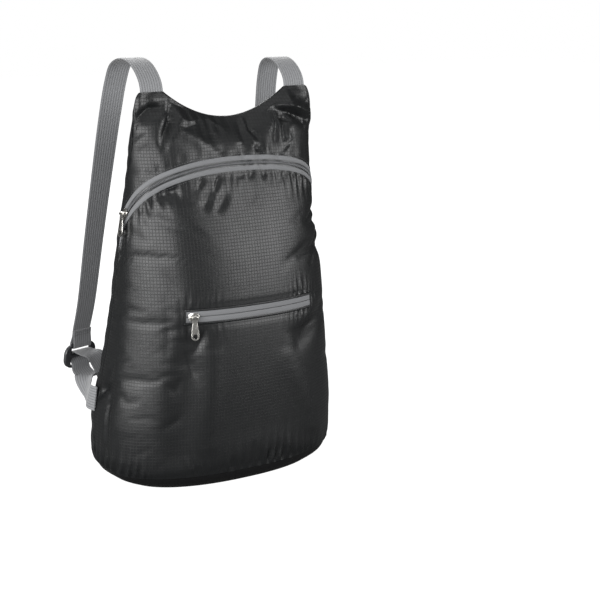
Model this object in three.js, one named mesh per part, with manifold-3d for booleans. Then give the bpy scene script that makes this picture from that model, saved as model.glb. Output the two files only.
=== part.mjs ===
// A packable backpack in ripstop nylon, standing stuffed on its own base.
// Millimetres, +Z up. The front faces -Y and the origin lies under the middle of the base.

import * as THREE from 'three';
import { mergeVertices } from 'three/addons/utils/BufferGeometryUtils.js';
import Module from 'manifold-3d';

const wasm = await Module();
wasm.setup();

// Driving dimensions of the bag
const BAG_WIDTH = 262;          // across the base at its fullest
const BAG_HEIGHT = 395;         // floor to the tops of the two ears
const BELLY_DEPTH = 72;         // front of the belly ahead of the sides
const BACK_DEPTH = 62;          // back panel behind the sides
const CLOTH = 1.2;              // wall of the ripstop shell
const SEAM_GAP = 0.3;           // clearance between neighbouring pieces
const BASE_SEAM = 13;           // height of the seam round the base
const NECK_DROP = 27;           // dip of the neckline between the ears
const EAR_SHOULDER = 8;         // from a strap's outer edge to the side of its ear
const EAR_DROP = 26;            // height over which an ear rounds into its side
const FOLD_DEPTH = 6;           // deepest fold in the cloth

// Driving dimensions of the big arched zip
const YOKE_HEIGHT = 72;         // from its centreline at the middle up to the tops of the ears
const ZIP_TOP = BAG_HEIGHT - YOKE_HEIGHT;
const ZIP_SAG = 64;            // fall of the centreline from the middle to the side seams
const ZIP_BEND = 2.35;          // how late the arch turns down
const TAPE_WIDTH = 4.8;         // one tape beside the coil
const TAPE_THICKNESS = 0.8;
const COIL_WIDTH = 3.8;
const COIL_RISE = 0.9;          // coil above the cloth
const ZIP_SLIDER_AT = -87;      // place of its slider round the bag, in degrees from the middle

// Driving dimensions of the pocket zip
const POCKET_SPAN = 152;        // its window across the front, measured straight
const POCKET_HEIGHT = 178;      // middle of the window above the floor
const WINDOW_HEIGHT = 16;
const WELT_WIDTH = 2.3;         // folded edge all round the window
const WELT_RISE = 0.6;
const POCKET_SLIDER_IN = 9;     // slider from the left end of the window

// Driving dimensions of a slider and its puller
const SLIDER = { width: 8.6, length: 10.5, plate: 1.4, nose: 2.6 };
const BAR_RADIUS = 0.75;
const BAR_CLEARANCE = 0.35;
const EYE_WALL = 0.8;
const PULLER = { length: 23, neck: 6.2, head: 8, thickness: 1.3, hole: 4.8 };

// Driving dimensions of the webbing
const WEBBING_WIDTH = 25;
const WEBBING_THICKNESS = 1.4;
const STRAP_SWING = 116;        // how far back a strap hangs from the neckline seam
const STRAP_SPREAD = 29;        // how far it splays outwards on its way down
const STRAP_TURN = 17;          // degrees that it turns on its way down
const ANCHOR_HEIGHT = 84;       // where the lower band is sewn into the side seam
const ADJUSTER = { height: 26, thickness: 3.6, bar: 3, cheek: 8, round: 10.5 };
const ADJUSTER_TILT = 10;       // degrees that it leans back from upright
const STITCHED_TURN = 17;       // end of the strap, turned up and sewn behind the bar

// Cross sections of the stuffed bag, from the floor to the neckline. up is a share of the height,
// half and slump, a sideways shift, of half the width, front and lean of BELLY_DEPTH, back of
// BACK_DEPTH. A power of 2 is an ellipse and a higher one is squarer. seam is where the side seam
// runs, in degrees from the front.
const SECTIONS = [
  { up: 0.000, half: 0.810, slump: -0.024, front: 0.800, back: 0.78, lean: 0.000, frontPower: 2.3, backPower: 3.8, seam: 112 },
  { up: 0.014, half: 0.905, slump: -0.024, front: 0.880, back: 0.88, lean: 0.000, frontPower: 2.3, backPower: 4.4, seam: 113 },
  { up: 0.036, half: 0.962, slump: -0.024, front: 0.930, back: 0.95, lean: 0.000, frontPower: 2.3, backPower: 5.0, seam: 114 },
  { up: 0.075, half: 0.996, slump: -0.024, front: 0.960, back: 1.00, lean: 0.000, frontPower: 2.3, backPower: 5.6, seam: 115 },
  { up: 0.160, half: 1.000, slump: -0.022, front: 0.980, back: 1.00, lean: 0.000, frontPower: 2.3, backPower: 5.2, seam: 115 },
  { up: 0.300, half: 0.950, slump: -0.012, front: 1.000, back: 0.94, lean: 0.000, frontPower: 2.3, backPower: 4.0, seam: 112 },
  { up: 0.450, half: 0.905, slump: -0.004, front: 0.990, back: 0.80, lean: 0.000, frontPower: 2.3, backPower: 3.3, seam: 106 },
  { up: 0.600, half: 0.870, slump: 0.000, front: 0.930, back: 0.65, lean: 0.000, frontPower: 2.2, backPower: 2.9, seam: 101 },
  { up: 0.700, half: 0.836, slump: 0.000, front: 0.840, back: 0.53, lean: 0.010, frontPower: 2.2, backPower: 2.7, seam: 99 },
  { up: 0.780, half: 0.809, slump: 0.000, front: 0.730, back: 0.42, lean: 0.040, frontPower: 2.2, backPower: 2.6, seam: 98 },
  { up: 0.880, half: 0.798, slump: 0.000, front: 0.590, back: 0.22, lean: 0.110, frontPower: 2.1, backPower: 2.4, seam: 96 },
  { up: 0.950, half: 0.794, slump: 0.000, front: 0.430, back: 0.00, lean: 0.180, frontPower: 2.0, backPower: 2.1, seam: 92 },
  { up: 1.000, half: 0.794, slump: 0.000, front: 0.235, back: -0.25, lean: 0.225, frontPower: 2.0, backPower: 2.0, seam: 90 },
];

// Folds and dents. Each runs straight over the cloth from one place to another: round is in degrees
// from the middle of the front, up a share of the height. depth is a share of FOLD_DEPTH and goes
// inwards, so a ridge is below zero. reach is the half width of the fold as a share of BAG_WIDTH.
const FOLDS = [
  { fromRound: -41, fromUp: 0.975, toRound: -74, toUp: 0.935, reach: 0.030, depth: 0.55 },
  { fromRound: -39, fromUp: 0.955, toRound: -49, toUp: 0.880, reach: 0.026, depth: 0.60 },
  { fromRound: -36, fromUp: 0.930, toRound: -18, toUp: 0.915, reach: 0.034, depth: -0.45 },
  { fromRound: 2, fromUp: 0.910, toRound: 7, toUp: 0.855, reach: 0.022, depth: 0.40 },
  { fromRound: 13, fromUp: 0.900, toRound: 15, toUp: 0.845, reach: 0.024, depth: 0.30 },
  { fromRound: 36, fromUp: 0.935, toRound: 34, toUp: 0.895, reach: 0.024, depth: 0.65 },
  { fromRound: 36, fromUp: 0.942, toRound: 56, toUp: 0.905, reach: 0.024, depth: 0.60 },
  { fromRound: 40, fromUp: 0.955, toRound: 80, toUp: 0.925, reach: 0.024, depth: -0.45 },
  { fromRound: 27, fromUp: 0.920, toRound: 26, toUp: 0.860, reach: 0.024, depth: 0.35 },
  { fromRound: -57, fromUp: 0.755, toRound: -42, toUp: 0.762, reach: 0.034, depth: 0.55 },
  { fromRound: -21, fromUp: 0.790, toRound: -25, toUp: 0.750, reach: 0.022, depth: 0.40 },
  { fromRound: -12, fromUp: 0.790, toRound: -17, toUp: 0.755, reach: 0.022, depth: 0.40 },
  { fromRound: 66, fromUp: 0.690, toRound: 84, toUp: 0.600, reach: 0.050, depth: 0.80 },
  { fromRound: 57, fromUp: 0.600, toRound: 84, toUp: 0.520, reach: 0.038, depth: 0.50 },
  { fromRound: 50, fromUp: 0.412, toRound: 27, toUp: 0.365, reach: 0.040, depth: 0.70 },
  { fromRound: -34, fromUp: 0.410, toRound: -36, toUp: 0.100, reach: 0.070, depth: 0.70 },
  { fromRound: -22, fromUp: 0.360, toRound: -22, toUp: 0.120, reach: 0.040, depth: -0.30 },
  { fromRound: -112, fromUp: 0.250, toRound: -92, toUp: 0.310, reach: 0.034, depth: 0.60 },
  { fromRound: 112, fromUp: 0.250, toRound: 92, toUp: 0.310, reach: 0.034, depth: 0.60 },
  { fromRound: -90, fromUp: 0.240, toRound: -92, toUp: 0.090, reach: 0.034, depth: 0.50 },
  { fromRound: 20, fromUp: 0.330, toRound: 40, toUp: 0.090, reach: 0.060, depth: -0.45 },
  { fromRound: 150, fromUp: 0.700, toRound: 205, toUp: 0.560, reach: 0.060, depth: 0.70 },
  { fromRound: 205, fromUp: 0.420, toRound: 160, toUp: 0.300, reach: 0.060, depth: 0.60 },
  { fromRound: 180, fromUp: 0.900, toRound: 176, toUp: 0.780, reach: 0.040, depth: 0.45 },
];

// Route of a strap from its ear, up, back and down to the adjuster. out is a share of STRAP_SPREAD,
// back of STRAP_SWING and up of BAG_HEIGHT.
const STRAP_ROUTE = [
  { out: 0.00, back: 0.015, up: 1.018 },
  { out: 0.00, back: 0.090, up: 1.047 },
  { out: 0.00, back: 0.220, up: 1.071 },
  { out: 0.03, back: 0.370, up: 1.077 },
  { out: 0.08, back: 0.500, up: 1.060 },
  { out: 0.12, back: 0.575, up: 1.020 },
  { out: 0.22, back: 0.655, up: 0.930 },
  { out: 0.40, back: 0.735, up: 0.790 },
  { out: 0.62, back: 0.830, up: 0.610 },
  { out: 0.83, back: 0.920, up: 0.430 },
];

// A strap of webbing turning round a bar, seen from its end, as shares of the bar's half thickness
// and half height with the gap and half the webbing added.
const HALF_TURN = [
  { away: 1.00, drop: -0.85 },
  { away: 1.00, drop: 0.00 },
  { away: 0.90, drop: 0.90 },
  { away: 0.00, drop: 1.00 },
  { away: -0.90, drop: 0.90 },
  { away: -1.00, drop: 0.00 },
  { away: -1.00, drop: -0.85 },
];

// The lower band from the side seam to the adjuster. along is a share of the way, out and drop are
// shares of its width, and twist says how far it has turned from the seam's direction to the bars'.
const BAND_ROUTE = [
  { along: 0.00, out: 0.00, drop: 0.00, twist: 0.00 },
  { along: 0.20, out: 0.21, drop: 0.06, twist: 0.00 },
  { along: 0.42, out: 0.12, drop: 0.06, twist: 0.06 },
  { along: 0.70, out: 0.04, drop: 0.06, twist: 0.20 },
];

// It comes up in front of the adjuster. away is a share of WRAP, towards the wearer, and drop of
// the distance from the middle bar to the bottom one.
const BAND_IN = [
  { away: -4.20, drop: 1.66, twist: 0.50 },
  { away: -1.80, drop: 1.36, twist: 0.90 },
  { away: -1.07, drop: 1.00, twist: 1.00 },
];

// Then it goes through the lower slot, behind the middle bar and out of the upper slot.
const BAND_THROUGH = [
  { away: -1.07, drop: 0.85 },
  { away: -0.80, drop: 0.69 },
  { away: -0.07, drop: 0.50 },
  { away: 0.50, drop: 0.38 },
  { away: 1.00, drop: 0.22 },
  { away: 1.07, drop: 0.00 },
  { away: 1.00, drop: -0.22 },
  { away: 0.50, drop: -0.38 },
  { away: 0.00, drop: -0.45 },
  { away: -0.90, drop: -0.49 },
];

// Its free end hangs in the room between the adjuster and the back panel. inwards is a share of the
// webbing's width, away of that room and drop of the adjuster's height.
const TAIL_ROUTE = [
  { inwards: 0.00, away: 0.19, drop: -0.22 },
  { inwards: 0.20, away: 0.46, drop: -0.13 },
  { inwards: 0.48, away: 0.66, drop: 0.36 },
  { inwards: 0.64, away: 0.76, drop: 0.88 },
  { inwards: 0.68, away: 0.78, drop: 1.28 },
];

const rad = THREE.MathUtils.degToRad;
const lerp = THREE.MathUtils.lerp;
const clamp = THREE.MathUtils.clamp;

// Value of one column of a table at a place between its rows, on a smooth curve through them.
function between(rows, column, place) {
  const at = (k) => rows[clamp(k, 0, rows.length - 1)];
  let k = 0;
  while (k < rows.length - 2 && place > rows[k + 1].up) k += 1;
  const low = at(k);
  const high = at(k + 1);
  const span = high.up - low.up;
  const slope = (a, b) => (b.up === a.up ? 0 : (b[column] - a[column]) / (b.up - a.up));
  const middle = slope(low, high);
  const limit = (s) => (s * middle <= 0 ? 0 : Math.sign(s) * Math.min(Math.abs(s), 3 * Math.abs(middle)));
  const startSlope = k === 0 ? middle : limit((slope(at(k - 1), low) + middle) / 2);
  const endSlope = k + 2 >= rows.length ? middle : limit((middle + slope(high, at(k + 2))) / 2);
  const s = clamp((place - low.up) / span, 0, 1);
  const s2 = s * s;
  const s3 = s2 * s;
  return low[column] * (2 * s3 - 3 * s2 + 1) + high[column] * (3 * s2 - 2 * s3)
    + span * (startSlope * (s3 - 2 * s2 + s) + endSlope * (s3 - s2));
}

const TOP_HALF = (BAG_WIDTH / 2) * SECTIONS[SECTIONS.length - 1].half;
const STRAP_X = TOP_HALF - EAR_SHOULDER - WEBBING_WIDTH / 2;
const EAR_IN = STRAP_X - WEBBING_WIDTH / 2;
const EAR_OUT = STRAP_X + WEBBING_WIDTH / 2;
const NECK_Y = -BELLY_DEPTH * SECTIONS[SECTIONS.length - 1].lean;

// Height of the neckline seam at a distance from the middle: a dip between two flat-topped ears.
function neckline(x) {
  const out = Math.abs(x);
  if (out < EAR_IN) return BAG_HEIGHT - NECK_DROP * (1 - (out / EAR_IN) ** 2);
  if (out <= EAR_OUT) return BAG_HEIGHT;
  const turn = Math.min(1, (out - EAR_OUT) / (TOP_HALF - EAR_OUT));
  return BAG_HEIGHT - EAR_DROP * (1 - Math.sqrt(1 - turn * turn));
}

// Columns of the cloth are numbered in degrees, 0 at the middle of the front and 100 and -100 on
// the side seams. The columns beside a seam follow it, and the rest run straight up.
const SEAM_COLUMN = 100;
const FRONT_STRAIGHT = 60;
const BACK_STRAIGHT = 130;

function columnAngle(column, up) {
  const out = Math.abs(column > 180 ? column - 360 : column);
  const seam = between(SECTIONS, 'seam', up);
  let angle = out;
  if (out > FRONT_STRAIGHT && out <= SEAM_COLUMN) {
    angle = lerp(FRONT_STRAIGHT, seam, (out - FRONT_STRAIGHT) / (SEAM_COLUMN - FRONT_STRAIGHT));
  } else if (out > SEAM_COLUMN && out < BACK_STRAIGHT) {
    angle = lerp(seam, BACK_STRAIGHT, (out - SEAM_COLUMN) / (BACK_STRAIGHT - SEAM_COLUMN));
  }
  return column < 0 || column > 180 ? -angle : angle;
}

function sectionPoint(angle, up) {
  const turn = rad(angle);
  const sine = Math.sin(turn);
  const cosine = Math.cos(turn);
  const power = between(SECTIONS, cosine >= 0 ? 'frontPower' : 'backPower', up);
  const reach = (Math.abs(sine) ** power + Math.abs(cosine) ** power) ** (-1 / power);
  const lean = -BELLY_DEPTH * between(SECTIONS, 'lean', up);
  const front = -BELLY_DEPTH * between(SECTIONS, 'front', up) - lean;
  const back = BACK_DEPTH * between(SECTIONS, 'back', up) - lean;
  return {
    x: (BAG_WIDTH / 2) * (between(SECTIONS, 'half', up) * reach * sine + between(SECTIONS, 'slump', up)),
    y: lean + reach * (cosine >= 0 ? front * cosine : -back * cosine),
  };
}

function columnTop(column) {
  return neckline(sectionPoint(columnAngle(column, 1), 1).x);
}

// Depth of the folds at a place on the cloth, fading out at the neckline and at the base.
function foldDepth(angle, up) {
  const round = (BAG_WIDTH / 2) * rad(1);
  const shortWay = (turn) => turn - 360 * Math.round(turn / 360);
  let depth = 0;
  for (const fold of FOLDS) {
    const px = shortWay(angle - fold.fromRound) * round;
    const py = (up - fold.fromUp) * BAG_HEIGHT;
    const lx = (fold.toRound - fold.fromRound) * round;
    const ly = (fold.toUp - fold.fromUp) * BAG_HEIGHT;
    const along = clamp((px * lx + py * ly) / (lx * lx + ly * ly), 0, 1);
    const away = Math.hypot(px - along * lx, py - along * ly) / (fold.reach * BAG_WIDTH);
    const swell = 0.35 + 0.65 * Math.sin(Math.PI * clamp(0.15 + 0.7 * along, 0, 1));
    depth += fold.depth * swell * Math.exp(-away * away);
  }
  const fade = clamp((1 - up) / 0.04, 0, 1) * clamp((up * BAG_HEIGHT - BASE_SEAM) / (2 * BASE_SEAM), 0, 1);
  return FOLD_DEPTH * depth * fade;
}

// Where the front and the back come together at the neckline, their walls lie face to face. This
// share of that closing grows from nothing below the ears to all of it at the seam.
function closing(up) {
  const share = clamp((up - 0.84) / 0.13, 0, 1);
  return share * share * (3 - 2 * share);
}

function isFront(column) {
  return Math.abs(column > 180 ? column - 360 : column) <= SEAM_COLUMN;
}

function sameSide(column, step) {
  const [low, high] = isFront(column)
    ? [-SEAM_COLUMN, SEAM_COLUMN]
    : [SEAM_COLUMN + 1e-6, 360 - SEAM_COLUMN - 1e-6];
  return clamp(column + step, low, high);
}

// The outer face of the cloth without its folds, and the direction that points out of it.
function smoothPoint(column, z) {
  const up = clamp(z / columnTop(column), 0, 1);
  const { x, y } = sectionPoint(columnAngle(column, up), up);
  const share = closing(up);
  const apart = SEAM_GAP * Math.min(1, 5 * share) + (CLOTH * share) / Math.hypot(share, 1 - share);
  return new THREE.Vector3(x, isFront(column) ? y - apart : y + apart, z);
}

function outward(column, z) {
  const step = 1.5;
  const low = Math.max(z - step, 0);
  const high = Math.min(z + step, columnTop(column) - SEAM_GAP);
  const round = smoothPoint(sameSide(column, step), z).sub(smoothPoint(sameSide(column, -step), z));
  const rise = smoothPoint(column, high).sub(smoothPoint(column, low));
  const share = closing(z / columnTop(column));
  const flat = new THREE.Vector3(0, isFront(column) ? -1 : 1, 0);
  return round.cross(rise).normalize().multiplyScalar(1 - share).addScaledVector(flat, share).normalize();
}

// A point of the cloth, lifted off its outer face, or sunk into it where lift is below zero.
function clothPoint(column, z, lift) {
  const up = clamp(z / columnTop(column), 0, 1);
  const normal = outward(column, z);
  const inwards = foldDepth(columnAngle(column, up), up);
  return smoothPoint(column, z).addScaledVector(normal, lift - inwards);
}

// Column at a distance from the middle of the front, at one height.
function columnAt(x, z) {
  let low = 0;
  let high = 90;
  for (let k = 0; k < 40; k += 1) {
    const middle = (low + high) / 2;
    if (Math.abs(smoothPoint(Math.sign(x) * middle, z).x) < Math.abs(x)) low = middle;
    else high = middle;
  }
  return Math.sign(x) * low;
}

// Height of the big zip's centreline, and of a line beside it on the cloth.
function zipHeight(column) {
  return ZIP_TOP - ZIP_SAG * Math.min(1, Math.abs(column) / SEAM_COLUMN) ** ZIP_BEND;
}

function besideZip(column, offset) {
  const step = 6;
  const near = Math.max(-SEAM_COLUMN, column - step);
  const far = Math.min(SEAM_COLUMN, column + step);
  const run = smoothPoint(far, zipHeight(far)).sub(smoothPoint(near, zipHeight(near)));
  const slope = run.z / Math.hypot(run.x, run.y);
  return zipHeight(column) + offset * Math.sqrt(1 + slope * slope);
}

const ZIP_EDGE = COIL_WIDTH / 2 + SEAM_GAP + TAPE_WIDTH + SEAM_GAP;
const POCKET_COLUMN = columnAt(POCKET_SPAN / 2, POCKET_HEIGHT);
const POCKET_LOW = POCKET_HEIGHT - WINDOW_HEIGHT / 2;
const POCKET_HIGH = POCKET_HEIGHT + WINDOW_HEIGHT / 2;
const EAR_COLUMN = THREE.MathUtils.radToDeg(Math.asin(EAR_IN / TOP_HALF));

// Places between some keys, at steps no longer than the one given.
function steps(keys, longest) {
  const places = [];
  for (let k = 0; k + 1 < keys.length; k += 1) {
    const count = Math.max(1, Math.round((keys[k + 1] - keys[k]) / longest));
    for (let i = 0; i < count; i += 1) places.push(lerp(keys[k], keys[k + 1], i / count));
  }
  places.push(keys[keys.length - 1]);
  return places;
}

const COLUMN_STEP = 6.4;
const FRONT_KEYS = [EAR_COLUMN, POCKET_COLUMN].sort((a, b) => a - b);
const HALF_FRONT = steps([0, ...FRONT_KEYS, SEAM_COLUMN], COLUMN_STEP);
const FRONT_COLUMNS = [...HALF_FRONT.slice(1).map((c) => -c).reverse(), ...HALF_FRONT];
const BACK_COLUMNS = steps([SEAM_COLUMN, 180 - EAR_COLUMN, 180, 180 + EAR_COLUMN, 360 - SEAM_COLUMN], COLUMN_STEP);

// A closed wall on a grid of cells. place(i, j, lift) gives a point, cells that keep refuses are
// left open, and every open edge gets a rim.
function gridWall({ across, rise, place, outer, inner, keep = () => true }) {
  const wide = across + 1;
  const points = [];
  for (const lift of [outer, inner]) {
    for (let j = 0; j <= rise; j += 1) {
      for (let i = 0; i < wide; i += 1) points.push(...place(i, j, lift).toArray());
    }
  }
  const inside = wide * (rise + 1);
  const node = (i, j) => j * wide + i;
  const faces = [];
  const cell = (i, j) => j >= 0 && j < rise && i >= 0 && i < across && keep(i, j);
  const rim = (a, b) => faces.push(a, a + inside, b, b, a + inside, b + inside);
  for (let j = 0; j < rise; j += 1) {
    for (let i = 0; i < across; i += 1) {
      if (!cell(i, j)) continue;
      const [a, b, c, d] = [node(i, j), node(i + 1, j), node(i + 1, j + 1), node(i, j + 1)];
      faces.push(a, b, c, a, c, d);
      faces.push(a + inside, c + inside, b + inside, a + inside, d + inside, c + inside);
      if (!cell(i, j - 1)) rim(a, b);
      if (!cell(i + 1, j)) rim(b, c);
      if (!cell(i, j + 1)) rim(c, d);
      if (!cell(i - 1, j)) rim(d, a);
    }
  }
  const geometry = new THREE.BufferGeometry();
  geometry.setAttribute('position', new THREE.Float32BufferAttribute(points, 3));
  geometry.setIndex(faces);
  return withoutSpares(geometry);
}

// The same surface without the points that no face uses.
function withoutSpares(geometry) {
  return mergeVertices(geometry.toNonIndexed(), 1e-4);
}

// The main panels of cloth
function frontPanel() {
  const columns = FRONT_COLUMNS;
  const below = 11;
  const window = 1;
  const above = 9;
  const low = BASE_SEAM + SEAM_GAP / 2;
  const inPocket = (i) => Math.abs((columns[i] + columns[i + 1]) / 2) < POCKET_COLUMN;
  const height = (column, j) => {
    if (j <= below) return lerp(low, POCKET_LOW, j / below);
    if (j <= below + window) return lerp(POCKET_LOW, POCKET_HIGH, (j - below) / window);
    const top = besideZip(column, -ZIP_EDGE);
    return lerp(POCKET_HIGH, top, (j - below - window) / above);
  };
  return gridWall({
    across: columns.length - 1,
    rise: below + window + above,
    place: (i, j, lift) => clothPoint(columns[i], height(columns[i], j), lift),
    outer: 0,
    inner: -CLOTH,
    keep: (i, j) => !(inPocket(i) && j >= below && j < below + window),
  });
}

// Moves a column that lies on a side seam back from it, so that the two panels keep their gap.
function offSeam(column, z) {
  const pitch = smoothPoint(SEAM_COLUMN + 1, z).distanceTo(smoothPoint(SEAM_COLUMN, z));
  const gap = (2 * SEAM_GAP) / pitch;
  if (Math.abs(column - SEAM_COLUMN) < 1e-6) return column + gap;
  if (Math.abs(column - (360 - SEAM_COLUMN)) < 1e-6) return column - gap;
  return column;
}

function yokePanel() {
  const columns = FRONT_COLUMNS;
  const rise = 6;
  const height = (column, j) => lerp(besideZip(column, ZIP_EDGE), columnTop(column), j / rise);
  return gridWall({
    across: columns.length - 1,
    rise,
    place: (i, j, lift) => clothPoint(columns[i], height(columns[i], j), lift),
    outer: 0,
    inner: -CLOTH,
  });
}

function backPanel() {
  const columns = BACK_COLUMNS;
  const rise = 22;
  const low = BASE_SEAM + SEAM_GAP / 2;
  return gridWall({
    across: columns.length - 1,
    rise,
    place: (i, j, lift) => {
      const z = lerp(low, columnTop(columns[i]), j / rise);
      return clothPoint(offSeam(columns[i], z), z, lift);
    },
    outer: 0,
    inner: -CLOTH,
  });
}

// The base: a flat floor that rounds up to the seam all the way round.
function basePanel() {
  const columns = [...FRONT_COLUMNS.slice(0, -1), ...BACK_COLUMNS.slice(0, -1)];
  const floorRings = [0.04, 0.4, 0.75];
  const heights = [0, 0.17 * BASE_SEAM, 0.5 * BASE_SEAM, BASE_SEAM - SEAM_GAP / 2];
  const ring = (column, j, lift) => {
    if (j < floorRings.length) {
      const { x, y } = smoothPoint(column, 0);
      return new THREE.Vector3(x * floorRings[j], y * floorRings[j], -lift);
    }
    const z = heights[j - floorRings.length];
    const point = smoothPoint(column, z);
    const flat = outward(column, z).setZ(0).normalize();
    point.addScaledVector(flat, lift);
    if (lift < 0) point.z = Math.max(point.z, lerp(-lift, point.z, point.z / BASE_SEAM));
    return point;
  };
  const across = columns.length;
  const rings = floorRings.length + heights.length;
  const points = [0, 0, 0, 0, 0, CLOTH];
  for (const lift of [0, -CLOTH]) {
    for (let j = 0; j < rings; j += 1) {
      for (const column of columns) points.push(...ring(column, j, lift).toArray());
    }
  }
  const inside = rings * across;
  const node = (i, j) => 2 + j * across + (i % across);
  const faces = [];
  for (let i = 0; i < across; i += 1) {
    faces.push(0, node(i + 1, 0), node(i, 0), 1, node(i, 0) + inside, node(i + 1, 0) + inside);
    for (let j = 0; j + 1 < rings; j += 1) {
      const [a, b, c, d] = [node(i, j), node(i + 1, j), node(i + 1, j + 1), node(i, j + 1)];
      faces.push(a, b, c, a, c, d);
      faces.push(a + inside, c + inside, b + inside, a + inside, d + inside, c + inside);
    }
    const [c, d] = [node(i + 1, rings - 1), node(i, rings - 1)];
    faces.push(c, c + inside, d, d, c + inside, d + inside);
  }
  const geometry = new THREE.BufferGeometry();
  geometry.setAttribute('position', new THREE.Float32BufferAttribute(points, 3));
  geometry.setIndex(faces);
  return geometry;
}

// A strip of the big zip between two lines beside its centreline.
function zipStrip(low, high, outer, inner) {
  const columns = FRONT_COLUMNS;
  return gridWall({
    across: columns.length - 1,
    rise: 1,
    place: (i, j, lift) => clothPoint(columns[i], besideZip(columns[i], j === 0 ? low : high), lift),
    outer,
    inner,
  });
}

// The pocket's window: its folded edge, and the two tapes that meet in the middle of it.
function windowColumns(short) {
  const end = columnAt(POCKET_SPAN / 2 - short, POCKET_HEIGHT);
  return steps([-end, 0, end], COLUMN_STEP);
}

function pocketWelt() {
  const ends = windowColumns(SEAM_GAP);
  const inner = windowColumns(SEAM_GAP + WELT_WIDTH);
  const columns = [ends[0], ...inner, ends[ends.length - 1]];
  const low = POCKET_LOW + SEAM_GAP;
  const high = POCKET_HIGH - SEAM_GAP;
  const heights = [low, low + WELT_WIDTH, high - WELT_WIDTH, high];
  return gridWall({
    across: columns.length - 1,
    rise: 3,
    place: (i, j, lift) => clothPoint(columns[i], heights[j], lift),
    outer: WELT_RISE,
    inner: -CLOTH,
    keep: (i, j) => j !== 1 || i === 0 || i === columns.length - 2,
  });
}

function pocketTape(side) {
  const columns = windowColumns(SEAM_GAP + WELT_WIDTH + SEAM_GAP);
  const reach = WINDOW_HEIGHT / 2 - SEAM_GAP - WELT_WIDTH - SEAM_GAP;
  const edges = [POCKET_HEIGHT + side * (SEAM_GAP / 2), POCKET_HEIGHT + side * reach].sort((a, b) => a - b);
  return gridWall({
    across: columns.length - 1,
    rise: 1,
    place: (i, j, lift) => clothPoint(columns[i], edges[j], lift),
    outer: 0,
    inner: -TAPE_THICKNESS,
  });
}

// Joins closed geometries into one solid.
function toSolid(geometry) {
  const bare = geometry.index ? geometry.toNonIndexed() : geometry.clone();
  for (const name of Object.keys(bare.attributes)) if (name !== 'position') bare.deleteAttribute(name);
  const merged = mergeVertices(bare, 1e-4);
  return new wasm.Manifold(new wasm.Mesh({
    numProp: 3,
    vertProperties: new Float32Array(merged.attributes.position.array),
    triVerts: new Uint32Array(merged.index.array),
  }));
}

function joined(geometries) {
  const solid = geometries.map(toSolid).reduce((all, one) => all.add(one));
  const mesh = solid.getMesh();
  const geometry = new THREE.BufferGeometry();
  geometry.setAttribute('position', new THREE.Float32BufferAttribute(mesh.vertProperties, 3));
  geometry.setIndex([...mesh.triVerts]);
  return geometry;
}

// A slider in its own frame: x across the bag, y up the cloth and z out of it, with the puller's
// bar on the x axis. The plate is turned by the angle that the zip runs at.
const EYE_RADIUS = BAR_RADIUS + BAR_CLEARANCE + EYE_WALL;
const BAR_RISE = SLIDER.plate + SEAM_GAP + EYE_RADIUS;
const POST_IN = PULLER.neck / 2 + SEAM_GAP;
const POST_WIDTH = 1.1;

function sliderGeometry(turn) {
  const half = SLIDER.width / 2;
  const nose = SLIDER.nose / 2;
  const long = SLIDER.length / 2;
  const outline = new THREE.Shape();
  outline.moveTo(-long, -half * 0.72);
  outline.lineTo(-long * 0.55, -half);
  outline.lineTo(long * 0.3, -half);
  outline.quadraticCurveTo(long * 0.8, -half, long, -nose);
  outline.lineTo(long, nose);
  outline.quadraticCurveTo(long * 0.8, half, long * 0.3, half);
  outline.lineTo(-long * 0.55, half);
  outline.lineTo(-long, half * 0.72);
  outline.closePath();
  const plate = new THREE.ExtrudeGeometry(outline, { depth: SLIDER.plate, bevelEnabled: false, curveSegments: 3 });
  plate.rotateZ(turn);
  plate.translate(0, 0, -BAR_RISE);
  const reach = POST_IN + POST_WIDTH;
  const bar = new THREE.CylinderGeometry(BAR_RADIUS, BAR_RADIUS, 2 * reach, 10);
  bar.rotateZ(Math.PI / 2);
  const tall = BAR_RISE - SLIDER.plate / 2 + BAR_RADIUS;
  const posts = [-1, 1].map((side) => {
    const post = new THREE.BoxGeometry(POST_WIDTH, 2 * BAR_RADIUS + EYE_WALL, tall);
    post.translate(side * (POST_IN + POST_WIDTH / 2), 0, BAR_RADIUS - tall / 2);
    return post;
  });
  return joined([plate, bar, ...posts]);
}

// A puller hanging down from its eye, a barrel rolled round the bar.
function pullerGeometry() {
  const neck = PULLER.neck / 2;
  const head = PULLER.head / 2;
  const drop = PULLER.length - head;
  const start = BAR_RADIUS + BAR_CLEARANCE + SEAM_GAP;
  const blade = new THREE.Shape();
  blade.moveTo(-neck, -start);
  blade.lineTo(-neck * 0.86, -drop * 0.35);
  blade.lineTo(-head, -drop + head * 0.4);
  blade.lineTo(-head, -drop);
  blade.absarc(0, -drop, head, Math.PI, 2 * Math.PI, false);
  blade.lineTo(head, -drop + head * 0.4);
  blade.lineTo(neck * 0.86, -drop * 0.35);
  blade.lineTo(neck, -start);
  blade.closePath();
  const hole = new THREE.Path();
  hole.absarc(0, -drop, PULLER.hole / 2, 0, 2 * Math.PI, true);
  blade.holes.push(hole);
  const plate = new THREE.ExtrudeGeometry(blade, { depth: PULLER.thickness, bevelEnabled: false, curveSegments: 8 });
  plate.translate(0, 0, -PULLER.thickness / 2);
  const inner = BAR_RADIUS + BAR_CLEARANCE;
  const ring = new THREE.Shape();
  ring.absarc(0, 0, EYE_RADIUS, 0, 2 * Math.PI, false);
  const bore = new THREE.Path();
  bore.absarc(0, 0, inner, 0, 2 * Math.PI, true);
  ring.holes.push(bore);
  const eye = new THREE.ExtrudeGeometry(ring, { depth: PULLER.neck, bevelEnabled: false, curveSegments: 6 });
  eye.translate(0, 0, -PULLER.neck / 2);
  eye.rotateY(Math.PI / 2);
  return joined([plate, eye]);
}

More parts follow.
